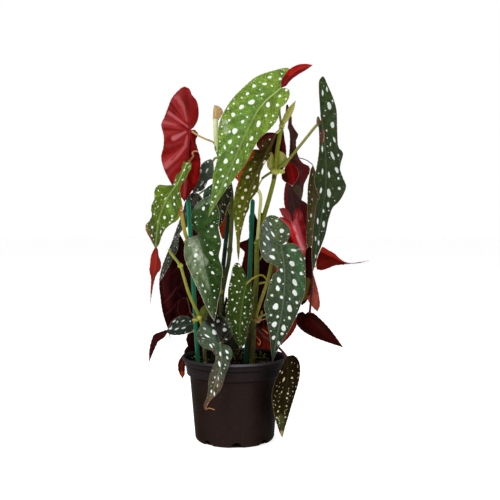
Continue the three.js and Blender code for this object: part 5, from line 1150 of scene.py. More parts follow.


# Looks of the leaves. seen is the face that the front of the plant shows
# In grey_green and blue_green far is darker than near: partly the leaves' own colour, partly painted shade
# where the light falls off down them
UPPER_PALETTES = {
    "bright": dict(near=(100, 126, 43), far=(76, 104, 34), patch=(98, 123, 43), vein=(166, 186, 120),
                   margin=(150, 128, 100), midrib=(0.6, 0.0), rib_end=0.35, dots=0.9, speckle=0.05),
    "lime": dict(near=(71, 94, 20), far=(60, 82, 17), patch=(83, 104, 22), vein=(168, 180, 110),
                 margin=(140, 116, 84), midrib=(0.5, 0.06), rib_end=0.5, dots=0.9),
    # grey_green: left is a painted sheen, and the pale margin is partly the leaf's edge and partly a painted
    # highlight
    "grey_green": dict(near=(38, 61, 22), far=(29, 51, 11), patch=(44, 68, 26), vein=(34, 56, 24),
                       left=(108, 122, 92), margin=(196, 178, 164), midrib=(0.5, 0.3), rim=0.7),
    "dark": dict(near=(78, 88, 72), far=(72, 84, 70), patch=(86, 96, 82), vein=(90, 100, 82), dots=0.35,
                 spot=(222, 228, 222), midrib=(0.2, 0.1)),
    "slate": dict(near=(50, 56, 48), far=(42, 48, 40), patch=(60, 66, 58), vein=(90, 96, 82), dots=0.25),
    "shade": dict(near=(38, 42, 24), far=(34, 38, 20), patch=(30, 28, 16), vein=(60, 60, 40), dots=0.4),
    "tall": dict(near=(45, 58, 26), far=(28, 39, 12), patch=(42, 56, 26), vein=(84, 100, 72), dots=0.4,
                 spot=(205, 212, 205), midrib=(0.2, 0.1)),
    # olive: the dark brown near colour is partly the leaf's own brown, partly painted shade on its upper part
    "olive": dict(near=(42, 21, 1), far=(96, 115, 17), patch=(87, 89, 4), vein=(120, 104, 50),
                  spot=(224, 216, 196), margin=(130, 62, 44), midrib=(0.1, 0.3)),
    "olive_dark": dict(near=(74, 67, 19), far=(69, 63, 15), patch=(55, 47, 11), vein=(96, 88, 54), dots=0.6),
    "blue_green": dict(near=(62, 75, 49), far=(39, 52, 31), patch=(54, 72, 51), vein=(110, 130, 104),
                       margin=(176, 150, 140), spot=(217, 221, 216), speckle=0.16, dots=0.9,
                       midrib=(0.15, 0.1)),
    "dotted": dict(near=(46, 63, 14), far=(46, 65, 12), patch=(51, 72, 14), vein=(108, 124, 64), dots=1.0,
                   margin=(150, 130, 104), spot=(226, 230, 216), midrib=(0.12, 0.05), rib_end=0.4),
    # over_rim: veiled lets the painted shadow on the lobe darken its spots too
    "over_rim": dict(near=(60, 74, 57), far=(74, 55, 42), patch=(63, 76, 56), vein=(120, 128, 104),
                     margin=(130, 100, 80), dots=0.4, spot=(226, 230, 224), midrib=(0.25, 0.1),
                     rim=0.3, veiled=0.55),
    "bronze": dict(near=(20, 9, 0), far=(37, 36, 4), patch=(20, 13, 0), vein=(48, 42, 12),
                   spot=(196, 190, 156), margin=(120, 104, 80), dots=0.9, midrib=(0.16, 0.1),
                   specular=0.015, gloss=0.55),
    "low_dark": dict(near=(38, 32, 22), far=(36, 34, 24), patch=(46, 38, 28), vein=(64, 58, 44), dots=0.2,
                     spot=(150, 150, 136), midrib=(0.2, 0.1)),
    "low": dict(near=(39, 50, 42), far=(36, 46, 40), patch=(45, 55, 47), vein=(76, 88, 76), dots=0.3),
}
UNDER_PALETTES = {
    "red": dict(deep=(88, 7, 5), mid=(116, 19, 17), light=(152, 58, 62)),
    "hanging_red": dict(deep=(90, 14, 12), mid=(120, 28, 22), light=(160, 70, 60)),
    "maroon": dict(deep=(38, 3, 3), mid=(50, 4, 5), light=(77, 18, 20)),
    "dark_maroon": dict(deep=(20, 1, 1), mid=(28, 1, 1), light=(36, 4, 3)),
    "orange_red": dict(deep=(58, 3, 1), mid=(72, 5, 1), light=(116, 26, 14), margin=(160, 66, 46)),
    "crimson": dict(deep=(92, 11, 13), mid=(112, 22, 24), light=(166, 72, 74), gloss=0.36),
    "wine": dict(deep=(26, 1, 0), mid=(34, 1, 1), light=(48, 4, 3), margin=(104, 36, 30)),
    "brick": dict(deep=(120, 46, 36), mid=(140, 60, 44), light=(176, 96, 80), margin=(180, 110, 90)),
    "mauve": dict(deep=(63, 32, 26), mid=(76, 43, 37), light=(96, 74, 70), margin=(130, 90, 80)),
    "plum": dict(deep=(56, 34, 32), mid=(66, 40, 38), light=(90, 60, 56), margin=(150, 90, 90)),
    "flame": dict(deep=(97, 4, 3), mid=(110, 6, 4), light=(159, 46, 46), margin=(190, 100, 110)),
    "rust": dict(deep=(130, 40, 14), mid=(150, 52, 22), light=(180, 90, 50)),
    "umber": dict(deep=(84, 60, 8), mid=(96, 72, 14), light=(120, 96, 40), margin=(120, 96, 50)),
    "ember": dict(deep=(84, 15, 5), mid=(96, 20, 7), light=(126, 50, 30), margin=(130, 60, 50)),
    "stipule": dict(deep=(142, 146, 66), mid=(166, 166, 84), light=(190, 186, 112), margin=(170, 148, 86)),
    "stipule_low": dict(deep=(60, 68, 24), mid=(82, 88, 34), light=(104, 106, 50), margin=(104, 92, 50)),
    "husk": dict(deep=(150, 124, 80), mid=(176, 148, 100), light=(206, 180, 132), margin=(140, 110, 70)),
}


def upper(palette, under="red", **details):
    return dict(seen="upper", upper=palette, under=under, **details)


def under(palette, upper="dark", **details):
    return dict(seen="under", upper=upper, under=palette, **details)


# Patches are brush strokes on the sheet: a line, a reach or a reach at each end, a colour, a strength. Some
# are the leaf's own marks, others painted highlights and painted shade
LOOKS = {
    "leaf_crown": [upper("bright", "red", size=3.4, gap=12, veins=7, relief=1.4, patches=[
        ([(222, 150), (221, 175), (214, 205)], 5, (78, 108, 38), 0.75),
        ([(262, 92), (250, 108), (236, 132), (228, 150)], (7, 9), (84, 118, 48), 0.5),
        ([(284, 96), (276, 108), (268, 124)], 4, (112, 134, 48), 0.5),
        # Painted highlight: a grey-white sheen spot
        ([(225, 122), (226, 132)], 2.6, (150, 160, 130), 0.6),
    ]), under("red", "bright", veins=3, relief=0.3, patches=[
        # Painted shade at the foot of the red lobe
        ([(282, 86), (286, 78)], 3, (88, 4, 2), 0.85),
        ([(289, 73), (299, 67.6), (308, 65.4)], (2.6, 1.6), (140, 14, 9), 0.85),
        ([(292, 78), (300, 72)], 1.2, (110, 6, 4), 0.7),
    ])],
    "leaf_left_red": [under("red", veins=5, relief=0.8, patches=[
        # Most strokes here are painted light and shade on the pleats: pink where a facet would be lit, deep
        # red where it would be shaded
        ([(193, 138), (196, 160), (190, 196)], 5.4, (94, 6, 4), 0.95),
        ([(197, 164), (194, 182)], 2, (124, 14, 10), 0.7),
        ([(194, 124), (194, 100)], 3, (104, 8, 6), 0.7),
        ([(187, 121), (183, 106), (177, 98)], (0.6, 2.6), (158, 70, 72), 0.8),
        ([(182, 117), (171, 104)], (0.4, 1.6), (92, 4, 4), 0.85),
        ([(188, 127), (180, 121), (169, 113)], (0.7, 1.8), (160, 78, 82), 0.8),
        ([(176, 125), (162.5, 122)], (0.6, 2), (154, 70, 72), 0.75),
        ([(184, 130.4), (165, 129)], (0.5, 1.8), (96, 4, 4), 0.85),
        ([(186, 132), (174, 138.4)], (0.7, 2.6), (164, 88, 92), 0.8),
        ([(183, 139), (172, 143)], (0.6, 1.5), (110, 10, 10), 0.8),
        ([(187.4, 136), (185.6, 146), (177, 156), (165.6, 166)], (0.8, 3), (158, 74, 76), 0.8),
        ([(163.6, 148), (169, 152)], 2.2, (104, 8, 6), 0.7),
        ([(186.6, 150), (180, 166), (172, 176)], (0.5, 1.4), (112, 14, 12), 0.8),
        ([(184, 146), (172, 160)], (0.3, 1), (116, 20, 20), 0.7),
        ([(180, 112), (176, 100)], (0.3, 1), (112, 16, 14), 0.7),
        ([(189, 134), (188, 152), (183, 172), (181, 186)], (0.5, 1.3), (84, 2, 2), 0.85),
        ([(186, 180), (184.6, 196)], 1.4, (140, 50, 52), 0.8),
    ], pleats=dict(
        centre=(190.4, 130),
        height=2.6,
        ends=[(186, 88), (175, 95), (167.5, 107), (162, 121), (162.6, 138), (161.6, 158), (169, 180),
              (183, 199), (191, 191), (200, 160), (198, 136)],
    ))],
    "leaf_left_lime": [upper("lime", "hanging_red", size=2.2, gap=10, veins=5, patches=[
        ([(183, 196), (182.5, 206), (179, 216)], 1.2, (150, 92, 42), 0.85),
        ([(150, 218), (153, 230), (156, 241)], 3.6, (58, 66, 30), 0.75),
        ([(153, 187), (165, 187)], 1.6, (112, 122, 48), 0.7),
        ([(166, 200), (172, 214)], 3, (96, 128, 44), 0.5),
        ([(146, 226), (148.6, 234), (152, 241)], 1.4, (110, 60, 30), 0.8),
    ]), under("hanging_red", "lime", veins=3, relief=0.3)],
    "leaf_left_small": [upper("dark", size=3.2, gap=13, veins=5)],
    "leaf_left_dark": [upper("slate", size=1.6, gap=16, veins=6, patches=[
        ([(197, 195), (194, 204)], 2.6, (96, 88, 80), 0.85),
        # Painted highlight: a thin grey streak
        ([(174, 237), (178.6, 249)], 1.0, (96, 104, 92), 0.7),
    ])],
    "leaf_left_inner": [under("wine", veins=3, relief=0.4)],
    "leaf_centre_left": [upper("grey_green", size=3.0, gap=11, veins=7, relief=1.0, patches=[
        # Painted sheen over the lit left half
        ([(191, 240), (196, 250), (204, 262)], (2.6, 4), (146, 156, 134), 0.7),
        ([(187, 244), (186.4, 258), (194, 277)], 1.6, (84, 100, 66), 0.8),
        # Painted highlight along the top lobe's edge
        ([(197, 207), (204, 202), (212, 201)], 2.4, (86, 104, 78), 0.7),
        ([(198, 274), (204, 288), (210, 306)], (2, 5), (54, 76, 38), 0.85),
        ([(210, 296), (213.4, 314)], (5, 3), (48, 68, 28), 0.6),
    ])],
    "leaf_centre_dark": [upper("shade", size=1.6, gap=12, veins=5, patches=[
        ([(210, 186), (207, 199), (211, 214)], 5.5, (48, 76, 56), 0.85),
        ([(220, 205), (221, 218)], 0.7, (96, 92, 66), 0.7),
    ])],
    "leaf_olive": [upper("olive", size=2.6, gap=11, veins=7, patches=[
        ([(252, 153), (244, 163), (238, 176), (237, 184)], 2.4, (165, 62, 38), 0.9),
        # Painted shade: the dark maroon-brown upper part by the stalk
        ([(258, 147), (262, 139), (272, 134)], 3.6, (74, 22, 20), 0.85),
    ])],
    "leaf_right_tall": [upper("tall", size=3.2, gap=12, veins=8, patches=[
        ([(322.2, 130), (320.6, 136), (322, 142)], 0.9, (110, 36, 38), 0.9),
        ([(323.6, 131), (324, 137), (323, 142)], 0.4, (190, 120, 120), 0.8),
        ([(318, 118), (319, 128)], 2.4, (34, 50, 26), 0.8),
        ([(317, 214), (318, 250)], (3, 2), (34, 44, 24), 0.7),
    ])],
    "leaf_right_olive": [upper("olive_dark", size=2.4, gap=12, veins=6)],
    "leaf_lower_right": [upper("blue_green", size=4.2, gap=13, veins=7, relief=0.9, patches=[
        ([(290, 248), (299, 262), (300, 290)], 4.5, (56, 96, 58), 0.55),
        # Painted sheen: the greyish upper-left lobe
        ([(266, 224), (268, 240), (267, 256)], 4, (74, 80, 74), 0.7),
        ([(278, 220), (282, 230), (278, 240)], 4, (72, 80, 48), 0.5),
    ])],
    "leaf_lower_centre": [upper("dotted", size=1.9, gap=9, veins=6, relief=0.8)],
    "leaf_over_rim": [upper("over_rim", size=3.2, gap=11, veins=5, patches=[
        # Painted shadow over the upper lobe
        ([(212, 319), (220, 325), (224, 336)], 8, (19, 18, 12), 1),
        ([(203, 328), (201, 336), (205, 344)], 3.4, (57, 67, 49), 0.9),
        ([(217, 370), (218, 386)], (1.6, 2.6), (100, 78, 62), 0.6),
        ([(212, 366), (209.6, 380)], 1.4, (56, 60, 46), 0.6),
        ([(212, 350.6), (216, 358)], 1.2, (130, 54, 54), 0.85),
        ([(212, 396), (205.6, 409)], 2.4, (96, 64, 40), 0.85),
    ])],
    "leaf_low_dark": [upper("low_dark", size=1.3, gap=20, veins=4)],
    "leaf_hanging_right": [upper("bronze", size=1.8, gap=9, veins=6, patches=[
        ([(287, 358), (290, 376), (284, 400)], (5, 6), (30, 22, 8), 0.7),
        ([(281, 418), (282, 430)], (4, 2), (66, 70, 36), 0.75),
        ([(281.6, 432), (282.2, 437.6)], 1.4, (170, 140, 100), 0.9),
    ])],
    "leaf_lower_left": [upper("low", size=3.0, gap=10, veins=4),
        under("maroon", "low", veins=3, relief=0.3, patches=[
        ([(166, 331), (154, 340), (150, 358)], 6, (38, 9, 8), 0.9),
    ])],
    "leaf_left_maroon": [under("dark_maroon", "low", veins=5, relief=2.4, patches=[
        ([(170, 262), (166, 284), (168, 306)], (2, 3), (54, 10, 11), 0.6),
        ([(163, 280), (164, 296)], 1, (66, 20, 26), 0.5),
        ([(190, 250), (196, 262), (200, 280)], 4, (24, 4, 4), 0.7),
        ([(177, 287), (171, 296), (163.6, 303)], 0.3, (88, 36, 40), 0.75),
        ([(179, 300), (172, 309), (165, 315)], 0.3, (80, 30, 34), 0.7),
        ([(182, 262), (175, 271), (167, 279)], 0.3, (70, 22, 26), 0.7),
        ([(186, 278), (178, 289)], 0.3, (76, 24, 28), 0.6),
        ([(200, 296), (193, 307), (187, 312)], 0.3, (74, 24, 22), 0.6),
    ])],
    "leaf_right_red": [under("orange_red", veins=4, relief=1.0, patches=[
        ([(318, 262), (327, 265), (336, 264.6)], (5, 2), (80, 10, 4), 0.9),
        # Painted highlight along the upper edge
        ([(323, 250), (333, 255.5), (342, 261)], (2.6, 1), (146, 32, 22), 0.75),
        ([(347, 263), (368, 261)], 1.6, (110, 100, 94), 0.85),
    ])],
    "leaf_right_low": [under("wine", veins=4, relief=0.8, patches=[
        ([(298, 315), (299, 326)], 3, (30, 8, 6), 0.8),
        ([(308, 322), (320, 330), (333, 340)], (4, 1.6), (50, 6, 3), 0.5),
        ([(306, 331), (322, 338)], 1.6, (30, 5, 4), 0.7),
    ])],
    "leaf_right_rounded": [under("brick", veins=4, relief=0.8, patches=[
        ([(309, 256), (312, 276), (311, 292)], (4.4, 3), (76, 14, 8), 0.9),
        ([(317, 278), (318, 292), (315, 306)], 1.2, (150, 70, 56), 0.6),
    ])],
    "leaf_right_inner": [under("wine", veins=4, relief=0.6, patches=[
        ([(307, 281), (303, 297)], 3.4, (76, 70, 22), 0.85),
        ([(308, 297), (308, 304)], 1.4, (110, 50, 30), 0.8),
    ])],
    "leaf_crimson": [under("crimson", veins=4, relief=1.2, patches=[
        ([(303, 212), (304, 226), (306, 238)], 2.4, (96, 12, 16), 0.85),
        ([(284, 222), (288, 236), (292, 246)], 3, (70, 8, 10), 0.9),
        # Painted highlights: a pink sheen and, next, its pale core
        ([(295, 222), (299, 236), (303, 250)], (2.6, 3.6), (176, 78, 84), 0.7),
        ([(294, 226), (298, 238), (302.4, 249)], (0.7, 1.6), (216, 130, 136), 0.85),
        ([(299.4, 222), (302, 234), (304.6, 246)], 0.5, (120, 24, 30), 0.7),
        # Painted highlight: a thin pale pink streak
        ([(291.4, 222), (295, 233), (299, 244)], 0.4, (214, 110, 104), 0.7),
        ([(297, 213), (296, 222)], (0.6, 1.4), (168, 66, 72), 0.7),
        ([(291, 230), (293, 238), (297, 244)], 1.5, (186, 26, 30), 0.9),
        ([(280, 218), (288, 224), (296, 234)], (1.6, 1.2), (184, 40, 46), 0.9),
    ]), under("crimson", veins=2, relief=0.3, patches=[
        ([(290, 220), (280, 209)], 4, (118, 38, 44), 0.85),
    ])],
    "leaf_rear_tall": [under("mauve", "tall", veins=5, relief=1.4, patches=[
        ([(300, 163), (307, 170), (302, 179)], 3.6, (88, 16, 14), 0.9),
        ([(297, 188), (300.6, 197)], 3.2, (92, 82, 60), 0.85),
    ])],
    "leaf_rear_fold": [under("flame", "tall", veins=4, relief=0.6, patches=[
        ([(284, 172), (286, 181)], 2.8, (44, 8, 8), 0.9),
    ])],
    "leaf_rear_wide": [under("plum", "tall", veins=5, relief=1.2, patches=[
        ([(285.4, 186), (286, 206)], 1.6, (112, 20, 20), 0.85),
        ([(303, 206), (306, 232)], 2.4, (80, 12, 12), 0.8),
    ])],
    "leaf_rear_top": [under("dark_maroon", veins=4, patches=[
        ([(284, 140), (283.6, 164)], 2.0, (112, 22, 26), 0.8),
    ])],
    "leaf_rear_centre": [under("dark_maroon", veins=5, relief=2.0, patches=[
        ([(244, 242), (247, 262), (252, 290)], 4, (70, 12, 10), 0.8),
        ([(272.6, 265), (272.6, 275)], 2.6, (76, 70, 24), 0.85),
        ([(276, 269), (278, 272)], 1.4, (180, 40, 60), 0.85),
    ])],
    "leaf_rear_red": [under("ember", veins=3, relief=0.6, patches=[
        ([(262, 306), (262, 320)], 8, (26, 10, 8), 0.95),
        ([(256, 326), (262, 333)], 3, (44, 28, 12), 0.7),
    ])],
    "leaf_rear_low": [under("ember", veins=4)],
    "leaf_rear_small": [under("rust", veins=3, relief=0.5),
        under("umber", veins=2, relief=0.3)],
    "leaf_back_crown": [under("maroon", "bright", veins=5)],
    "leaf_back_left": [under("maroon", "tall", veins=5)],
    "leaf_back_right": [under("maroon", "blue_green", veins=5)],
    "leaf_hanging_left": [under("dark_maroon", "bronze", veins=3, relief=0.4),
        under("ember", "bronze", veins=3, relief=0.4, patches=[
        ([(182, 354), (181.6, 367)], 5, (46, 12, 5), 0.95),
        ([(182.4, 373), (182.4, 378)], 1.6, (136, 54, 20), 0.8),
    ])],
}

made_materials = {}


def once(make, name, *values, **settings):
    """The material of a name, made at its first use"""
    if name not in made_materials:
        made_materials[name] = make(name, *values, **settings)
    return made_materials[name]


def whole_mark(column, row, half_length, half_width=None, angle=0):
    """A spot is round where its entry leaves out the width, and lies level where it leaves out the angle"""
    return column, row, half_length, half_width or half_length, angle


def make_leaf(name, seed):
    piece = Piece()
    materials = []
    looks = LOOKS[name]
    looks[0]["marks"] = [whole_mark(*mark) for mark in MARKS.get(name, ())]
    assert len(LEAVES[name]) == len(looks), name
    for blade, look in zip(LEAVES[name], looks):
        pair = [once(upper_material, "upper_" + look["upper"], **UPPER_PALETTES[look["upper"]]),
                once(under_material, "under_" + look["under"], **UNDER_PALETTES[look["under"]])]
        materials.extend(material for material in pair if material not in materials)
        seed += 100
        add_blade(piece, blade, look, seed, *(materials.index(material) for material in pair))
    piece.build(name + "_blade", materials, [name])


for number, leaf_name in enumerate(LEAVES):
    make_leaf(leaf_name, number)


# Canes and leaf stalks
STEM_TONES = {
    "cane": ((62, 68, 18), (114, 124, 30), (44, 40, 14), 0.24),
    "cane_lime": ((100, 106, 26), (140, 144, 58), (26, 28, 12), 0.46),
    "cane_dark": ((58, 66, 28), (92, 104, 44), (16, 18, 8), 0.3),
    "olive": ((112, 116, 46), (128, 126, 56)),
    "yellow": ((136, 128, 34), (152, 140, 44)),
    "tan": ((140, 120, 60), (166, 136, 82)),
    "dark": ((52, 36, 24), (74, 54, 34)),
    "moss": ((124, 116, 38), (88, 92, 32)),
    "maroon": ((56, 26, 20), (78, 28, 26)),
    "pale": ((176, 178, 104), (190, 190, 124)),
    "sheath": ((158, 168, 110), (188, 196, 148)),
    "knob": ((146, 150, 56), (168, 170, 80)),
    "dry": ((122, 66, 40), (176, 130, 90)),
    "lobe": ((48, 58, 40), (66, 76, 56)),
}
TONES = list(STEM_TONES)
CANE_TONE = {"cane_right": "cane", "cane_left": "cane_lime", "cane_centre": "cane_dark"}
STIPULES = {"cane_right": "stipule", "cane_centre": "husk", "cane_left": "stipule_low"}
STALK_TONE = {"leaf_left_red": "tan", "leaf_right_tall": "olive", "leaf_lower_centre": "yellow",
              "leaf_rear_tall": "dark", "leaf_rear_top": "dark", "leaf_left_lime": "yellow",
              "leaf_right_red": "olive", "leaf_hanging_right": "maroon", "leaf_over_rim": "olive",
              "leaf_lower_right": "moss", "leaf_right_low": "maroon", "leaf_olive": "pale",
              "leaf_right_olive": "maroon"}
THIN_STALK = 1
NODE_REACH = 3.2
NODE_SWELLING = 0.32
ROUNDED_END = (0.8, 0.4)
STALK_STEP = 1.5
STALK_STOP = 0.4


def ring_faces(rings, sides):
    """Faces between rings of points that are numbered ring after ring"""
    around = [(i, (i + 1) % sides) for i in range(sides)]
    return [(low + i, low + j, low + sides + j, low + sides + i)
            for low in range(0, (rings - 1) * sides, sides) for i, j in around]


def tube_mesh(path, radii, sides=TUBE_SIDES):
    """A closed round tube along a path of points, with the share of its length at each point"""
    path = np.asarray(path, float)
    tangents = np.gradient(path, axis=0)
    tangents /= np.linalg.norm(tangents, axis=1)[:, None]
    side = np.cross(tangents[0], (0.3, 0.9, 0.2))
    angles = 2 * math.pi * np.arange(sides) / sides
    rings = []
    for point, tangent, radius in zip(path, tangents, np.broadcast_to(radii, len(path))):
        side = side - tangent * (side @ tangent)
        side /= np.linalg.norm(side)
        other = np.cross(tangent, side)
        rings.append(point + radius * (np.cos(angles)[:, None] * side + np.sin(angles)[:, None] * other))
    last = (len(path) - 1) * sides
    ends = [tuple(range(sides))[::-1], tuple(last + i for i in range(sides))]
    along = np.repeat(np.linspace(0, 1, len(path)), sides)
    return np.vstack(rings), ring_faces(len(path), sides) + ends, along


def resampled(points, step=TUBE_STEP):
    """Even steps along a smooth curve through points, and the curve's length"""
    curve = Curve(points)
    return curve.at(np.linspace(0, 1, max(4, math.ceil(curve.length / step)))), curve.length


def lump_mesh(centre, radii, rng, rough=0.1, finer=2):
    """A rounded lump with an uneven surface. rough is the height of its waves as a share of its radii"""
    ball = bmesh.new()
    bmesh.ops.create_icosphere(ball, subdivisions=finer, radius=1)
    points = np.array([vertex.co[:] for vertex in ball.verts])
    faces = [tuple(vertex.index for vertex in face.verts) for face in ball.faces]
    ball.free()
    waves = rng.uniform(1.5, 3.5, (3, 3))
    phases = rng.uniform(0, 6, 3)
    swell = 1 + rough * sum(np.sin(points @ wave + phase) for wave, phase in zip(waves, phases))
    return centre + points * swell[:, None] * np.asarray(radii), faces


def add_tube(piece, path, radii, tone):
    points, faces, along = tube_mesh(path, radii)
    piece.add(points, faces, TONES.index(tone), along=along)


def add_lump(piece, centre, radii, tone, rng):
    points, faces = lump_mesh(np.asarray(centre), radii, rng)
    piece.add(points, faces, TONES.index(tone), along=0.5)


def add_cane(piece, name, cane):
    surface = at(*cane["root"])
    below = [(surface[0], surface[1], SOIL_TOP - STEM_DEPTH_IN_SOIL / share) for share in (1, 2)]
    path = resampled([*below, *(at(*point) for point in cane["stem"])])[0]
    low, high = CANE_GIRTH[name]
    radii = np.linspace(low, high, len(path))
    for node in cane["nodes"]:
        away = np.linalg.norm(path - at(*node), axis=1)
        radii += high * NODE_SWELLING * np.exp(-(away / NODE_REACH) ** 2)
    radii[-2:] *= ROUNDED_END
    add_tube(piece, path, radii, CANE_TONE[name])


def add_stalk(piece, leaf, path, radius=PETIOLE_RADIUS, end=None):
    """A leaf stalk, thicker at both ends, that stops just short of its end, or else of the leaf's midrib"""
    end = end or LEAVES[leaf][0]["midrib"][0]
    path, length = resampled([at(*point) for point in (*path, end)], STALK_STEP)
    path[-1] += (path[-2] - path[-1]) / np.linalg.norm(path[-2] - path[-1]) * STALK_STOP
    walked = np.linspace(0, length, len(path))
    radii = radius * (1 + 0.35 * np.exp(-walked / 4) + 0.15 * np.exp(-(length - walked) / 5))
    radii *= np.clip((length - walked) / 1.6 + 0.45, 0, 1)
    add_tube(piece, path, radii, STALK_TONE.get(leaf, "dark" if radius < THIN_STALK else "olive"))


# Lumps on the canes: column, row and depth, then radii in mm, then tone
LUMPS = {
    "cane_right": [
        ((274.8, 171.6, -1.5), (6.4, 4.2, 4.6), "knob"), ((281.5, 171.2, -2), (5.2, 3.0, 3.2), "knob"),
        ((257.2, 242.6, -1), (3.6, 3.4, 3.0), "sheath"), ((256.6, 319.5, -3), (4.6, 4.4, 3.4), "dry"),
        ((281.6, 126, -1), (4.2, 3.6, 3.6), "knob"), ((318.2, 120.6, -19.6), (2.5, 1.1, 5.4), "lobe"),
        ((319.2, 124.6, -19.6), (1.9, 1.1, 4.4), "lobe"),
    ],
    "cane_left": [
        ((195.6, 320, -15), (5.0, 3.0, 2.8), "knob"), ((199.4, 317.8, -14), (4.0, 3.8, 3.6), "knob"),
        ((180.2, 265.5, -18), (3.8, 3.4, 3.4), "knob"),
    ],
    "cane_centre": [],
}
# Scraps of dry stipule, moss and bark, and dark pieces that are painted shade: tone, radii at both ends in
# mm, path
SCRAP_GIRTH = (0.8, 0.35)
SCRAPS = {
    "cane_right": [
        ("dry", SCRAP_GIRTH, [(256, 318, -6), (259.5, 320.6, -8), (263, 319.4, -9), (266.4, 318.6, -10)]),
        ("dry", SCRAP_GIRTH, [(255, 320, -6), (252, 319.5, -8), (250.4, 317.8, -9)]),
        ("dry", SCRAP_GIRTH, [(262, 329, -4), (265, 331, -6), (268, 334, -7)]),
        # Painted shade: a dark sleeve round the cane just under the knob, where its shadow falls
        ("dark", (3.1, 2.95), [(274.5, 173.4, -0.2), (273.9, 179, -0.2)]),
        ("moss", (1.9, 1.5), [(273, 171.4, -1.5), (268.4, 174, -5), (261.8, 178.6, -9.4)]),
        # A dark rod in the gap between the centre stake and the cane: partly a stem behind, partly painted
        # shadow of the cane
        ("dark", (2.4, 1.8), [(249.2, 354, 1), (249.2, 335, 1), (250.2, 318, 0)]),
        ("dry", SCRAP_GIRTH, [(256, 336, -3), (259, 339.5, -6), (260.4, 342, -7), (259, 345, -7),
         (257.6, 343, -6)]),
    ],
    "cane_left": [
        ("dry", SCRAP_GIRTH, [(198, 319, -16), (194, 316, -18), (192.4, 313.6, -18)]),
        ("dark", (0.5, 0.3), [(169, 332, -41), (169.2, 334, -41), (169.8, 336.5, -41), (171.3, 339.3, -41)]),
    ],
    "cane_centre": [
        ("dry", SCRAP_GIRTH, [(206, 409.4, -78), (208.5, 408.2, -79), (211.4, 408.6, -80),
         (214.8, 409.8, -80)]),
        ("sheath", (3.7, 3.3), [(218.4, 152, -3), (216.8, 142, -3.4), (215.8, 130, -4), (215.6, 119, -4.4)]),
        ("dry", (1.7, 0.8), [(189.6, 161, -6), (193.4, 156, -5), (192.4, 153, -5), (195, 151.2, -4),
         (198.4, 151.6, -3)]),
    ],
}


def make_cane(name, seed):
    cane = CANES[name]
    rng = np.random.default_rng(seed)
    piece = Piece()
    materials = [once(stem_material, "stem_" + tone, *STEM_TONES[tone]) for tone in TONES]
    materials += [once(under_material, "under_" + kind, **UNDER_PALETTES[kind]) for kind in STIPULES.values()]
    slot = len(TONES) + list(STIPULES).index(name)
    look = dict(seen="under", veins=3, relief=0.4, spotted=False, grain=0.8)
    add_cane(piece, name, cane)
    for stalk in cane["stalks"]:
        add_stalk(piece, *stalk)
    for i, stipule in enumerate(cane["stipules"]):
        add_blade(piece, {**stipule, "ripple": 0.8, "teeth": 0}, look, seed + i, slot, slot)
    for centre, radii, tone in LUMPS[name]:
        add_lump(piece, at(*centre), radii, tone, rng)
    for tone, girth, scrap in SCRAPS[name]:
        path = resampled([at(*point) for point in scrap], 1.0)[0]
        add_tube(piece, path, np.linspace(*girth, len(path)), tone)
    piece.build(name + "_stem", materials, [name])


for number, cane_name in enumerate(CANES):
    make_cane(cane_name, 500 + number)


# Stakes
ROUND_TOP = 0.015  # share of a stake's length
STAKE_SIDES = 20


def stake_material(name, dark, pale):
    s = Shader(name)
    grain = s.noise(2.4, 4, 0.6, stretch=(1, 1, 0.05))
    colour = s.mix(s.step(grain, 0.3, 0.7), rgb(*dark), rgb(*pale))
    colour = s.mix(s.step(s.noise(14, 3), 0.55, 0.75, 0, 0.35), colour, rgb(60, 140, 110))
    colour = s.mix(s.step(s.value("along"), 0.2, 0.55, 0, 0.6), colour, rgb(4, 56, 36))
    return s.finish(colour, s.step(grain, 0.3, 0.7, 0.36, 0.5), s.bump(grain, 0.4, 0.25), specular=0.15)


def make_stake(name, top, surface, material):
    """A straight rod with a rounded top, longer than it shows by its part in the soil"""
    lean = (surface - top) * ((SOIL_TOP - STAKE_DEPTH_IN_SOIL - top[2]) / (surface[2] - top[2]))
    shares = np.array([0, 0.4 * ROUND_TOP, ROUND_TOP, *np.linspace(0.04, 1, 24)])
    round_top = np.sqrt(np.clip(1 - (1 - np.clip(shares / ROUND_TOP, 0, 1)) ** 2, 0.03, 1))
    points, faces, along = tube_mesh(top + lean * shares[:, None], STAKE_RADIUS * round_top, STAKE_SIDES)
    piece = Piece()
    piece.add(points, faces, 0, along=along)
    piece.build(name + "_rod", [material], [name])


for stake_name, (stake_top, stake_foot, *colours) in STAKES.items():
    make_stake(stake_name, at(*stake_top), at(*stake_foot), stake_material(*colours))


# Pot
POT_SIDES = 144
POT_SMOOTH_ANGLE = 40
# Painted shadow lines round the pot, at the groove and under the lip and the band: height in mm and strength
POT_SHADOW_LINES = ((POT_HEIGHT - 10.8, 0.85), (POT_HEIGHT - BAND_HEIGHT - 2.2, 0.7), (POT_HEIGHT - 4.4, 0.6))
SHADOW_LINE_HALF_WIDTH = (0.3, 1.2)


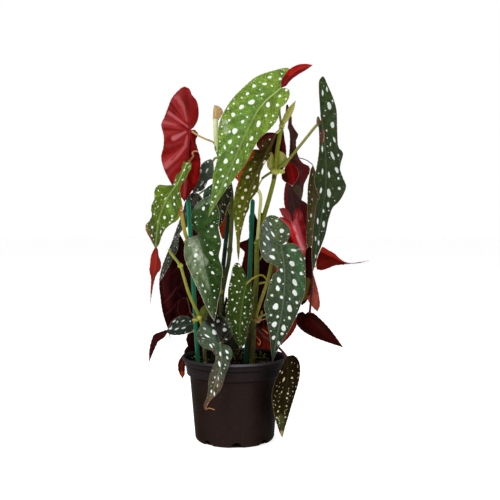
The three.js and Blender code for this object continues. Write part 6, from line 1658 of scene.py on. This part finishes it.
def pot_material():
    """Black-brown plastic with a greyer band, scuffs and dust; its sides are painted darker as shade, most to
    the right, with painted shadow lines and a painted highlight on the lip
    """
    s = Shader("pot_plastic")
    across, height = s.axis("X"), s.axis("Z")
    band_foot = POT_HEIGHT - BAND_HEIGHT
    # Painted shade: the sides darker than the middle, the left browner, the right nearly black
    colour = s.mix(s.step(across, -52 * MM, -20 * MM), rgb(22, 11, 4), rgb(34, 24, 22))
    colour = s.mix(s.step(across, 15 * MM, 45 * MM), colour, rgb(8, 2, 1))
    colour = s.mix(s.step(s.noise(40, 3), 0.35, 0.7, 0, 0.3), colour, rgb(36, 27, 24))
    # The greyer band, painted darker to the right as shade
    band = s.mix(s.step(across, 20 * MM, 50 * MM), rgb(31, 26, 27), rgb(14, 10, 10))
    colour = s.mix(s.step(height, (band_foot - 1.5) * MM, (band_foot - 0.5) * MM, 0, 0.85), colour, band)
    # Painted shadow: dark lines at the groove and under the lip and the band
    for middle, strength in POT_SHADOW_LINES:
        away = s.maths("ABSOLUTE", s.maths("SUBTRACT", height, middle * MM))
        shadow_line = s.step(away, *(width * MM for width in SHADOW_LINE_HALF_WIDTH), strength, 0)
        colour = s.mix(shadow_line, colour, (0.002, 0.002, 0.002, 1))
    # Painted highlight on the top of the lip, brightest in the middle of the pot's width
    lip = s.mix(s.step(s.maths("ABSOLUTE", across), 10 * MM, 42 * MM), rgb(78, 74, 80), rgb(40, 37, 39))
    colour = s.mix(s.step(height, (POT_HEIGHT - 3.4) * MM, (POT_HEIGHT - 2.2) * MM), colour, lip)
    scuffs = s.noise(2.4, 4, 0.7, stretch=(1, 1, 0.12))
    colour = s.mix(s.step(scuffs, 0.62, 0.8, 0, 0.4), colour, rgb(70, 62, 60))
    dust = s.maths("LESS_THAN", s.cells(3.1), 0.075)
    colour = s.mix(s.maths("MULTIPLY", dust, 0.45), colour, rgb(120, 112, 100))
    normal = s.bump(s.noise(0.7, 3), 0.2, 0.12)
    normal = s.bump(s.noise(30, 2), 0.15, 0.8, normal)
    rough = s.step(s.noise(18, 4, 0.65), 0.3, 0.7, 0.5, 0.62)
    return s.finish(colour, rough, normal, specular=0.01)


def pot_profile():
    """Radius and height round the pot's wall, up the outside and down the inside"""
    band = POT_HEIGHT - BAND_HEIGHT
    foot = [(0, 0), (FOOT_RADIUS - FOOT_CORNER, 0), (FOOT_RADIUS - 2.6, 0.5), (FOOT_RADIUS - 1.2, 1.8),
            (FOOT_RADIUS - 0.3, 3.6), (FOOT_RADIUS, FOOT_CORNER), (FOOT_RADIUS + 0.35, FOOT_CORNER + 0.5),
            (FOOT_RADIUS + 0.15, FOOT_CORNER + 1.6)]
    outside = [(60, band - 2.2), (60.3, band - 1.4), (61.2, band - 0.8), (63.4, band - 0.4), (64, band + 0.3),
               (65.2, POT_HEIGHT - 13), (65.3, POT_HEIGHT - 12.4), (66.1, POT_HEIGHT - 11.9),
               (66.7, POT_HEIGHT - 11.2), (67.4, POT_HEIGHT - 5.6), (67.8, POT_HEIGHT - 5),
               (69.2, POT_HEIGHT - 4.4), (RIM_RADIUS - 0.1, POT_HEIGHT - 3.4), (RIM_RADIUS, POT_HEIGHT - 2),
               (RIM_RADIUS - 0.3, POT_HEIGHT - 0.8), (RIM_RADIUS - 1.1, POT_HEIGHT - 0.15),
               (RIM_RADIUS - 2, POT_HEIGHT), (RIM_RADIUS - 3, POT_HEIGHT - 0.4)]
    inside = [(65.6, POT_HEIGHT - 3), (64.6, POT_HEIGHT - 6), (63.2, POT_HEIGHT - 13), (61.8, band + 1.6),
              (60 - POT_WALL, band - 1.5), (FOOT_RADIUS - POT_WALL, FOOT_CORNER + 2),
              (FOOT_RADIUS - FOOT_CORNER, FLOOR_THICKNESS), (0, FLOOR_THICKNESS)]
    return foot + outside + inside


def lathe_mesh(profile, sides):
    """A closed turned body. The first and last points of the profile lie on the axis"""
    angles = 2 * math.pi * np.arange(sides) / sides
    rings = [np.stack([radius * np.cos(angles), radius * np.sin(angles), np.full(sides, z)], axis=-1)
             for radius, z in profile[1:-1]]
    points = np.vstack([*rings, [(0, 0, profile[0][1])], [(0, 0, profile[-1][1])]])
    first, last = len(points) - 2, len(points) - 1
    faces = []
    top = (len(rings) - 1) * sides
    for i in range(sides):
        j = (i + 1) % sides
        faces.append((first, j, i))
        faces.append((last, top + i, top + j))
        for ring in range(len(rings) - 1):
            low, high = ring * sides, (ring + 1) * sides
            faces.append((low + i, low + j, high + j, high + i))
    return points, faces


def cut(target, cutter):
    """Takes one closed object's shape out of another and deletes the cutter"""
    modifier = target.modifiers.new("cut", "BOOLEAN")
    modifier.operation = "DIFFERENCE"
    modifier.solver = "EXACT"
    modifier.object = cutter
    bpy.context.view_layer.update()
    depsgraph = bpy.context.evaluated_depsgraph_get()
    result = bpy.data.meshes.new_from_object(target.evaluated_get(depsgraph))
    target.modifiers.clear()
    target.data = result
    bpy.data.objects.remove(cutter)


def notch_cutter():
    """Round bars that lie level round the pot's foot, one for each drainage notch"""
    shape = bmesh.new()
    for i in range(NOTCH_COUNT):
        angle = 2 * math.pi * i / NOTCH_COUNT + math.pi / 2 + NOTCH_TURN
        made = bmesh.ops.create_cone(shape, cap_ends=True, segments=32, radius1=NOTCH_RADIUS * MM,
                                     radius2=NOTCH_RADIUS * MM, depth=NOTCH_LENGTH * MM)
        middle = (NOTCH_INNER + NOTCH_LENGTH / 2) * MM
        for vertex in made["verts"]:
            side, height, out = vertex.co
            out += middle
            vertex.co = (out * math.cos(angle) - side * math.sin(angle),
                         out * math.sin(angle) + side * math.cos(angle), height)
    mesh = bpy.data.meshes.new("notch_cutter")
    bmesh.ops.recalc_face_normals(shape, faces=shape.faces)
    shape.to_mesh(mesh)
    shape.free()
    cutter = bpy.data.objects.new("notch_cutter", mesh)
    bpy.context.scene.collection.objects.link(cutter)
    return cutter


def make_pot():
    piece = Piece()
    piece.add(*lathe_mesh(pot_profile(), POT_SIDES), 0)
    pot = piece.build("pot_shell", [pot_material()], ["pot"], smooth_angle=POT_SMOOTH_ANGLE)
    cut(pot, notch_cutter())
    for polygon in pot.data.polygons:
        polygon.use_smooth = True
    pot.data.set_sharp_from_angle(angle=math.radians(POT_SMOOTH_ANGLE))


make_pot()


# Soil with grit, bark and moss
SOIL_RINGS = 60
SOIL_SIDES = 150
SOIL_EDGE = 61.4
SOIL_LOW_EDGE = 58.5
SOIL_LOW = 90.0
GRIT_COUNT = 620
BARK_COUNT = 110
MOSS_COUNT = 90
SOIL_WAVES = ((0.11, 1.1), (0.23, 0.7), (0.61, 0.45), (1.3, 0.3))
SOIL_HILLS = [((-53, 19), 6.5, 8), ((2, 24), 4, 7), ((34, 30), 3, 8)]
# Sprigs that rise from the soil: foot column, tip column, tip row, depth, material
SPRIGS = [(234, 236, 345.4, 20, 0), (238, 241.4, 343.6, 24, 1), (241, 243.6, 350, 20, 1),
          (246, 247.6, 347, 30, 0), (250, 252.6, 352, 26, 1), (231, 232.6, 351, 18, 0),
          (254, 256.4, 353.6, 28, 1), (258, 261, 352.4, 30, 1), (263, 265, 353, 30, 0),
          (236, 234, 352, 16, 0), (240, 238, 354, 16, 2), (238, 241, 356, 14, 2),
          (244, 246.6, 355, 20, 0), (252, 250, 356, 24, 2)]


def soil_height(x, y):
    """The uneven top of the soil"""
    height = SOIL_TOP - 0.4 + 1.6 * (1 - np.hypot(x, y) / SOIL_EDGE)
    for wave, size in SOIL_WAVES:
        height = height + size * np.sin(wave * x + 3 * size) * np.cos(wave * 1.2 * y + 7 * wave)
    for (hill_x, hill_y), rise, reach in SOIL_HILLS:
        height = height + rise * np.exp(-((x - hill_x) ** 2 + (y - hill_y) ** 2) / (2 * reach ** 2))
    return height


def soil_material():
    s = Shader("soil_dark")
    grain = s.noise(1.6, 5, 0.7)
    colour = s.mix(s.step(grain, 0.35, 0.65), rgb(5, 4, 2), rgb(16, 14, 8))
    colour = s.mix(s.step(s.noise(9, 3), 0.55, 0.75, 0, 0.4), colour, rgb(30, 25, 16))
    normal = s.bump(grain, 0.9, 1.2)
    return s.finish(colour, 0.92, normal, specular=0.03)


def crumb_material(name, dark, pale):
    """Grit, bark, moss or a sprig"""
    s = Shader(name)
    colour = s.mix(s.step(s.noise(3, 4, 0.7), 0.35, 0.7), rgb(*dark), rgb(*pale))
    return s.finish(colour, 0.85, s.bump(s.noise(0.8, 3), 0.6, 0.4), specular=0.05)


def make_soil():
    """The soil's uneven top, with a plain skirt and a flat underside"""
    shares = np.linspace(0.02, 1, SOIL_RINGS)[:, None]
    angles = 2 * math.pi * np.arange(SOIL_SIDES) / SOIL_SIDES
    x = shares * SOIL_EDGE * np.cos(angles)
    y = shares * SOIL_EDGE * np.sin(angles)
    top = np.stack([x, y, soil_height(x, y)], axis=-1).reshape(-1, 3)
    low_ring = np.stack([SOIL_LOW_EDGE * np.cos(angles), SOIL_LOW_EDGE * np.sin(angles),
                         np.full(SOIL_SIDES, SOIL_LOW)], axis=-1)
    points = np.vstack([top, low_ring, [(0, 0, SOIL_TOP + 1)], [(0, 0, SOIL_LOW)]])
    upper_centre, low = len(points) - 2, len(top)
    faces = [face[::-1] for face in ring_faces(SOIL_RINGS + 1, SOIL_SIDES)]
    for i in range(SOIL_SIDES):
        j = (i + 1) % SOIL_SIDES
        faces += [(upper_centre, i, j), (upper_centre + 1, low + j, low + i)]
    piece = Piece()
    piece.add(points, faces, 0)
    piece.build("soil_bed", [soil_material()], ["soil"])


def scatter(name, count, sizes, materials, seed, around=None, flat=0.7, sink=0.25):
    """Small uneven lumps on the soil, in one piece. around has the middles and reaches of heaps, if any"""
    rng = np.random.default_rng(seed)
    piece = Piece()
    for i in range(count):
        if around:
            (x, y), reach = around[i % len(around)]
            x, y = rng.normal((x, y), reach)
        else:
            angle, share = rng.uniform(0, 2 * math.pi), rng.uniform(0, 1)
            x, y = (SOIL_EDGE - 3) * share ** 0.45 * np.array([math.cos(angle), math.sin(angle)])
        size = rng.uniform(*sizes)
        radii = size * np.array([rng.uniform(0.7, 1.3), rng.uniform(0.7, 1.3), flat])
        centre = np.array([x, y, soil_height(x, y) + size * flat * (1 - 2 * sink)])
        points, faces = lump_mesh(centre, radii, rng, rough=0.14, finer=1)
        turn = rng.uniform(0, 2 * math.pi)
        spun = points - centre
        spun = np.stack([spun[:, 0] * math.cos(turn) - spun[:, 1] * math.sin(turn),
                         spun[:, 0] * math.sin(turn) + spun[:, 1] * math.cos(turn), spun[:, 2]], axis=-1)
        piece.add(centre + spun, faces, int(rng.integers(len(materials))))
    piece.build(name, materials, smooth_angle=30)


make_soil()
grit_materials = [crumb_material("grit_tan", (70, 58, 36), (130, 112, 78)),
                  crumb_material("grit_grey", (34, 32, 26), (70, 66, 56)),
                  crumb_material("grit_brown", (22, 16, 10), (48, 36, 24)),
                  crumb_material("grit_dark", (10, 8, 5), (26, 20, 13))]
bark_materials = [crumb_material("bark_dark", (12, 8, 6), (34, 23, 16)),
                  crumb_material("bark_red", (34, 17, 11), (70, 38, 24))]
moss_materials = [crumb_material("moss_green", (24, 34, 10), (70, 84, 28)),
                  crumb_material("moss_olive", (40, 42, 16), (92, 90, 40))]
scatter("soil_grit", GRIT_COUNT, (0.5, 1.5), grit_materials, 11)
scatter("soil_bark", BARK_COUNT, (1.6, 3.6), bark_materials, 12, flat=0.45)
moss_centres = [((6, -30), 6), ((8, -44), 5), ((-38, -34), 6), ((34, -38), 5), ((30, 20), 8), ((-20, 30), 8)]
scatter("soil_moss", MOSS_COUNT, (0.9, 2.2), moss_materials, 13, around=moss_centres)
grit_pale = crumb_material("grit_pale", (140, 132, 104), (196, 188, 160))
scatter("soil_grit_left", 54, (0.5, 1.4), [grit_pale, *grit_materials[:2]], 15, around=[((-53, 20), 3.2)])
scatter("soil_flecks", 48, (0.5, 1.2), [grit_pale, *grit_materials[:2]], 16,
        around=[((28, 36), 6), ((38, 30), 5), ((6, 34), 5)])
scatter("soil_chips", 22, (0.8, 1.9), [bark_materials[1], grit_pale], 18, around=[((6, 33), 2.6)])


def make_sprigs():
    """Moss and seedlings that rise from the soil, each a thin stem with small uneven leaves"""
    rng = np.random.default_rng(17)
    piece = Piece()
    for foot, tip, row, depth, slot in SPRIGS:
        x = at(foot, row, depth)[0]
        start, end = np.array([x, depth, soil_height(x, depth) - 0.5]), at(tip, row, depth)
        path = resampled([start, (start + end) / 2 + rng.normal(0, 1.2, 3), end], STALK_STEP)[0]
        points, faces, along = tube_mesh(path, np.linspace(0.5, 0.25, len(path)), 6)
        piece.add(points, faces, slot, along=along)
        for share in np.linspace(0.3, 1, 6):
            centre = path[int(share * (len(path) - 1))] + rng.normal(0, 1.2, 3)
            points, faces = lump_mesh(centre, rng.uniform(0.6, 1.5, 3), rng, rough=0.16, finer=1)
            piece.add(points, faces, slot)
    sprig_materials = [crumb_material("sprig_green", (56, 70, 22), (112, 124, 50)),
                       crumb_material("sprig_olive", (84, 84, 34), (140, 136, 76)), bark_materials[1]]
    piece.build("soil_sprigs", sprig_materials, smooth_angle=30)


make_sprigs()


# Floor, light and camera
def floor_material():
    s = Shader("floor_pale")
    colour = s.mix(s.step(s.noise(400, 3), 0.3, 0.7), rgb(240, 240, 240), rgb(245, 245, 244))
    return s.finish(colour, 0.7, specular=0.1, Emission_Color=(1, 1, 1, 1), Emission_Strength=0.74)


def make_floor():
    radius, sides, below = 9.0, 96, -0.4 * MM
    shape = bmesh.new()
    bmesh.ops.create_circle(shape, cap_ends=True, segments=sides, radius=radius)
    mesh = bpy.data.meshes.new("floor")
    shape.to_mesh(mesh)
    shape.free()
    floor = bpy.data.objects.new("floor", mesh)
    floor.location.z = below
    mesh.materials.append(floor_material())
    bpy.context.scene.collection.objects.link(floor)


def make_world():
    world = bpy.data.worlds.new("studio")
    world.use_nodes = True
    nodes, links = world.node_tree.nodes, world.node_tree.links
    sky = nodes["Background"]
    direction = nodes.new("ShaderNodeTexCoord")
    split = nodes.new("ShaderNodeSeparateXYZ")
    fade = nodes.new("ShaderNodeMapRange")
    links.new(direction.outputs["Generated"], split.inputs["Vector"])
    links.new(split.outputs["Z"], fade.inputs["Value"])
    fade.inputs["From Min"].default_value = 0.25
    fade.inputs["From Max"].default_value = 0.5
    fade.inputs["To Min"].default_value = 1.0
    fade.inputs["To Max"].default_value = 0.12
    links.new(fade.outputs["Result"], sky.inputs["Strength"])
    sky.inputs["Color"].default_value = (1, 1, 1, 1)
    bpy.context.scene.world = world


def aim(thing, target):
    way = np.asarray(target) - np.asarray(thing.location)
    flat = math.hypot(way[0], way[1])
    thing.rotation_euler = (math.atan2(flat, -way[2]), 0, math.atan2(-way[0], way[1]))


def make_light(name, location, size, watts, target=(0, 0, 0.25)):
    data = bpy.data.lights.new(name, "AREA")
    data.shape = "SQUARE"
    data.size = size
    data.energy = watts
    light = bpy.data.objects.new(name, data)
    light.location = location
    aim(light, target)
    bpy.context.scene.collection.objects.link(light)


def make_camera():
    data = bpy.data.cameras.new("camera")
    data.sensor_width = 36
    data.lens = data.sensor_width * EYE_DISTANCE / (500 * SHEET_UNIT)
    data.clip_start = 0.05
    data.clip_end = 50
    camera = bpy.data.objects.new("camera", data)
    camera.location = EYE * MM
    camera.rotation_euler = (math.radians(90) - EYE_TILT, 0, 0)
    bpy.context.scene.collection.objects.link(camera)
    bpy.context.scene.camera = camera


make_floor()
make_world()
make_light("key", (-0.55, -0.95, 1.25), 0.7, 17, (0, 0, 0.4))
make_light("fill", (1.4, -0.9, 0.7), 1.2, 4)
make_light("top", (0.2, 0.5, 1.7), 1.0, 6)
make_camera()
bpy.context.scene.view_settings.view_transform = "Standard"
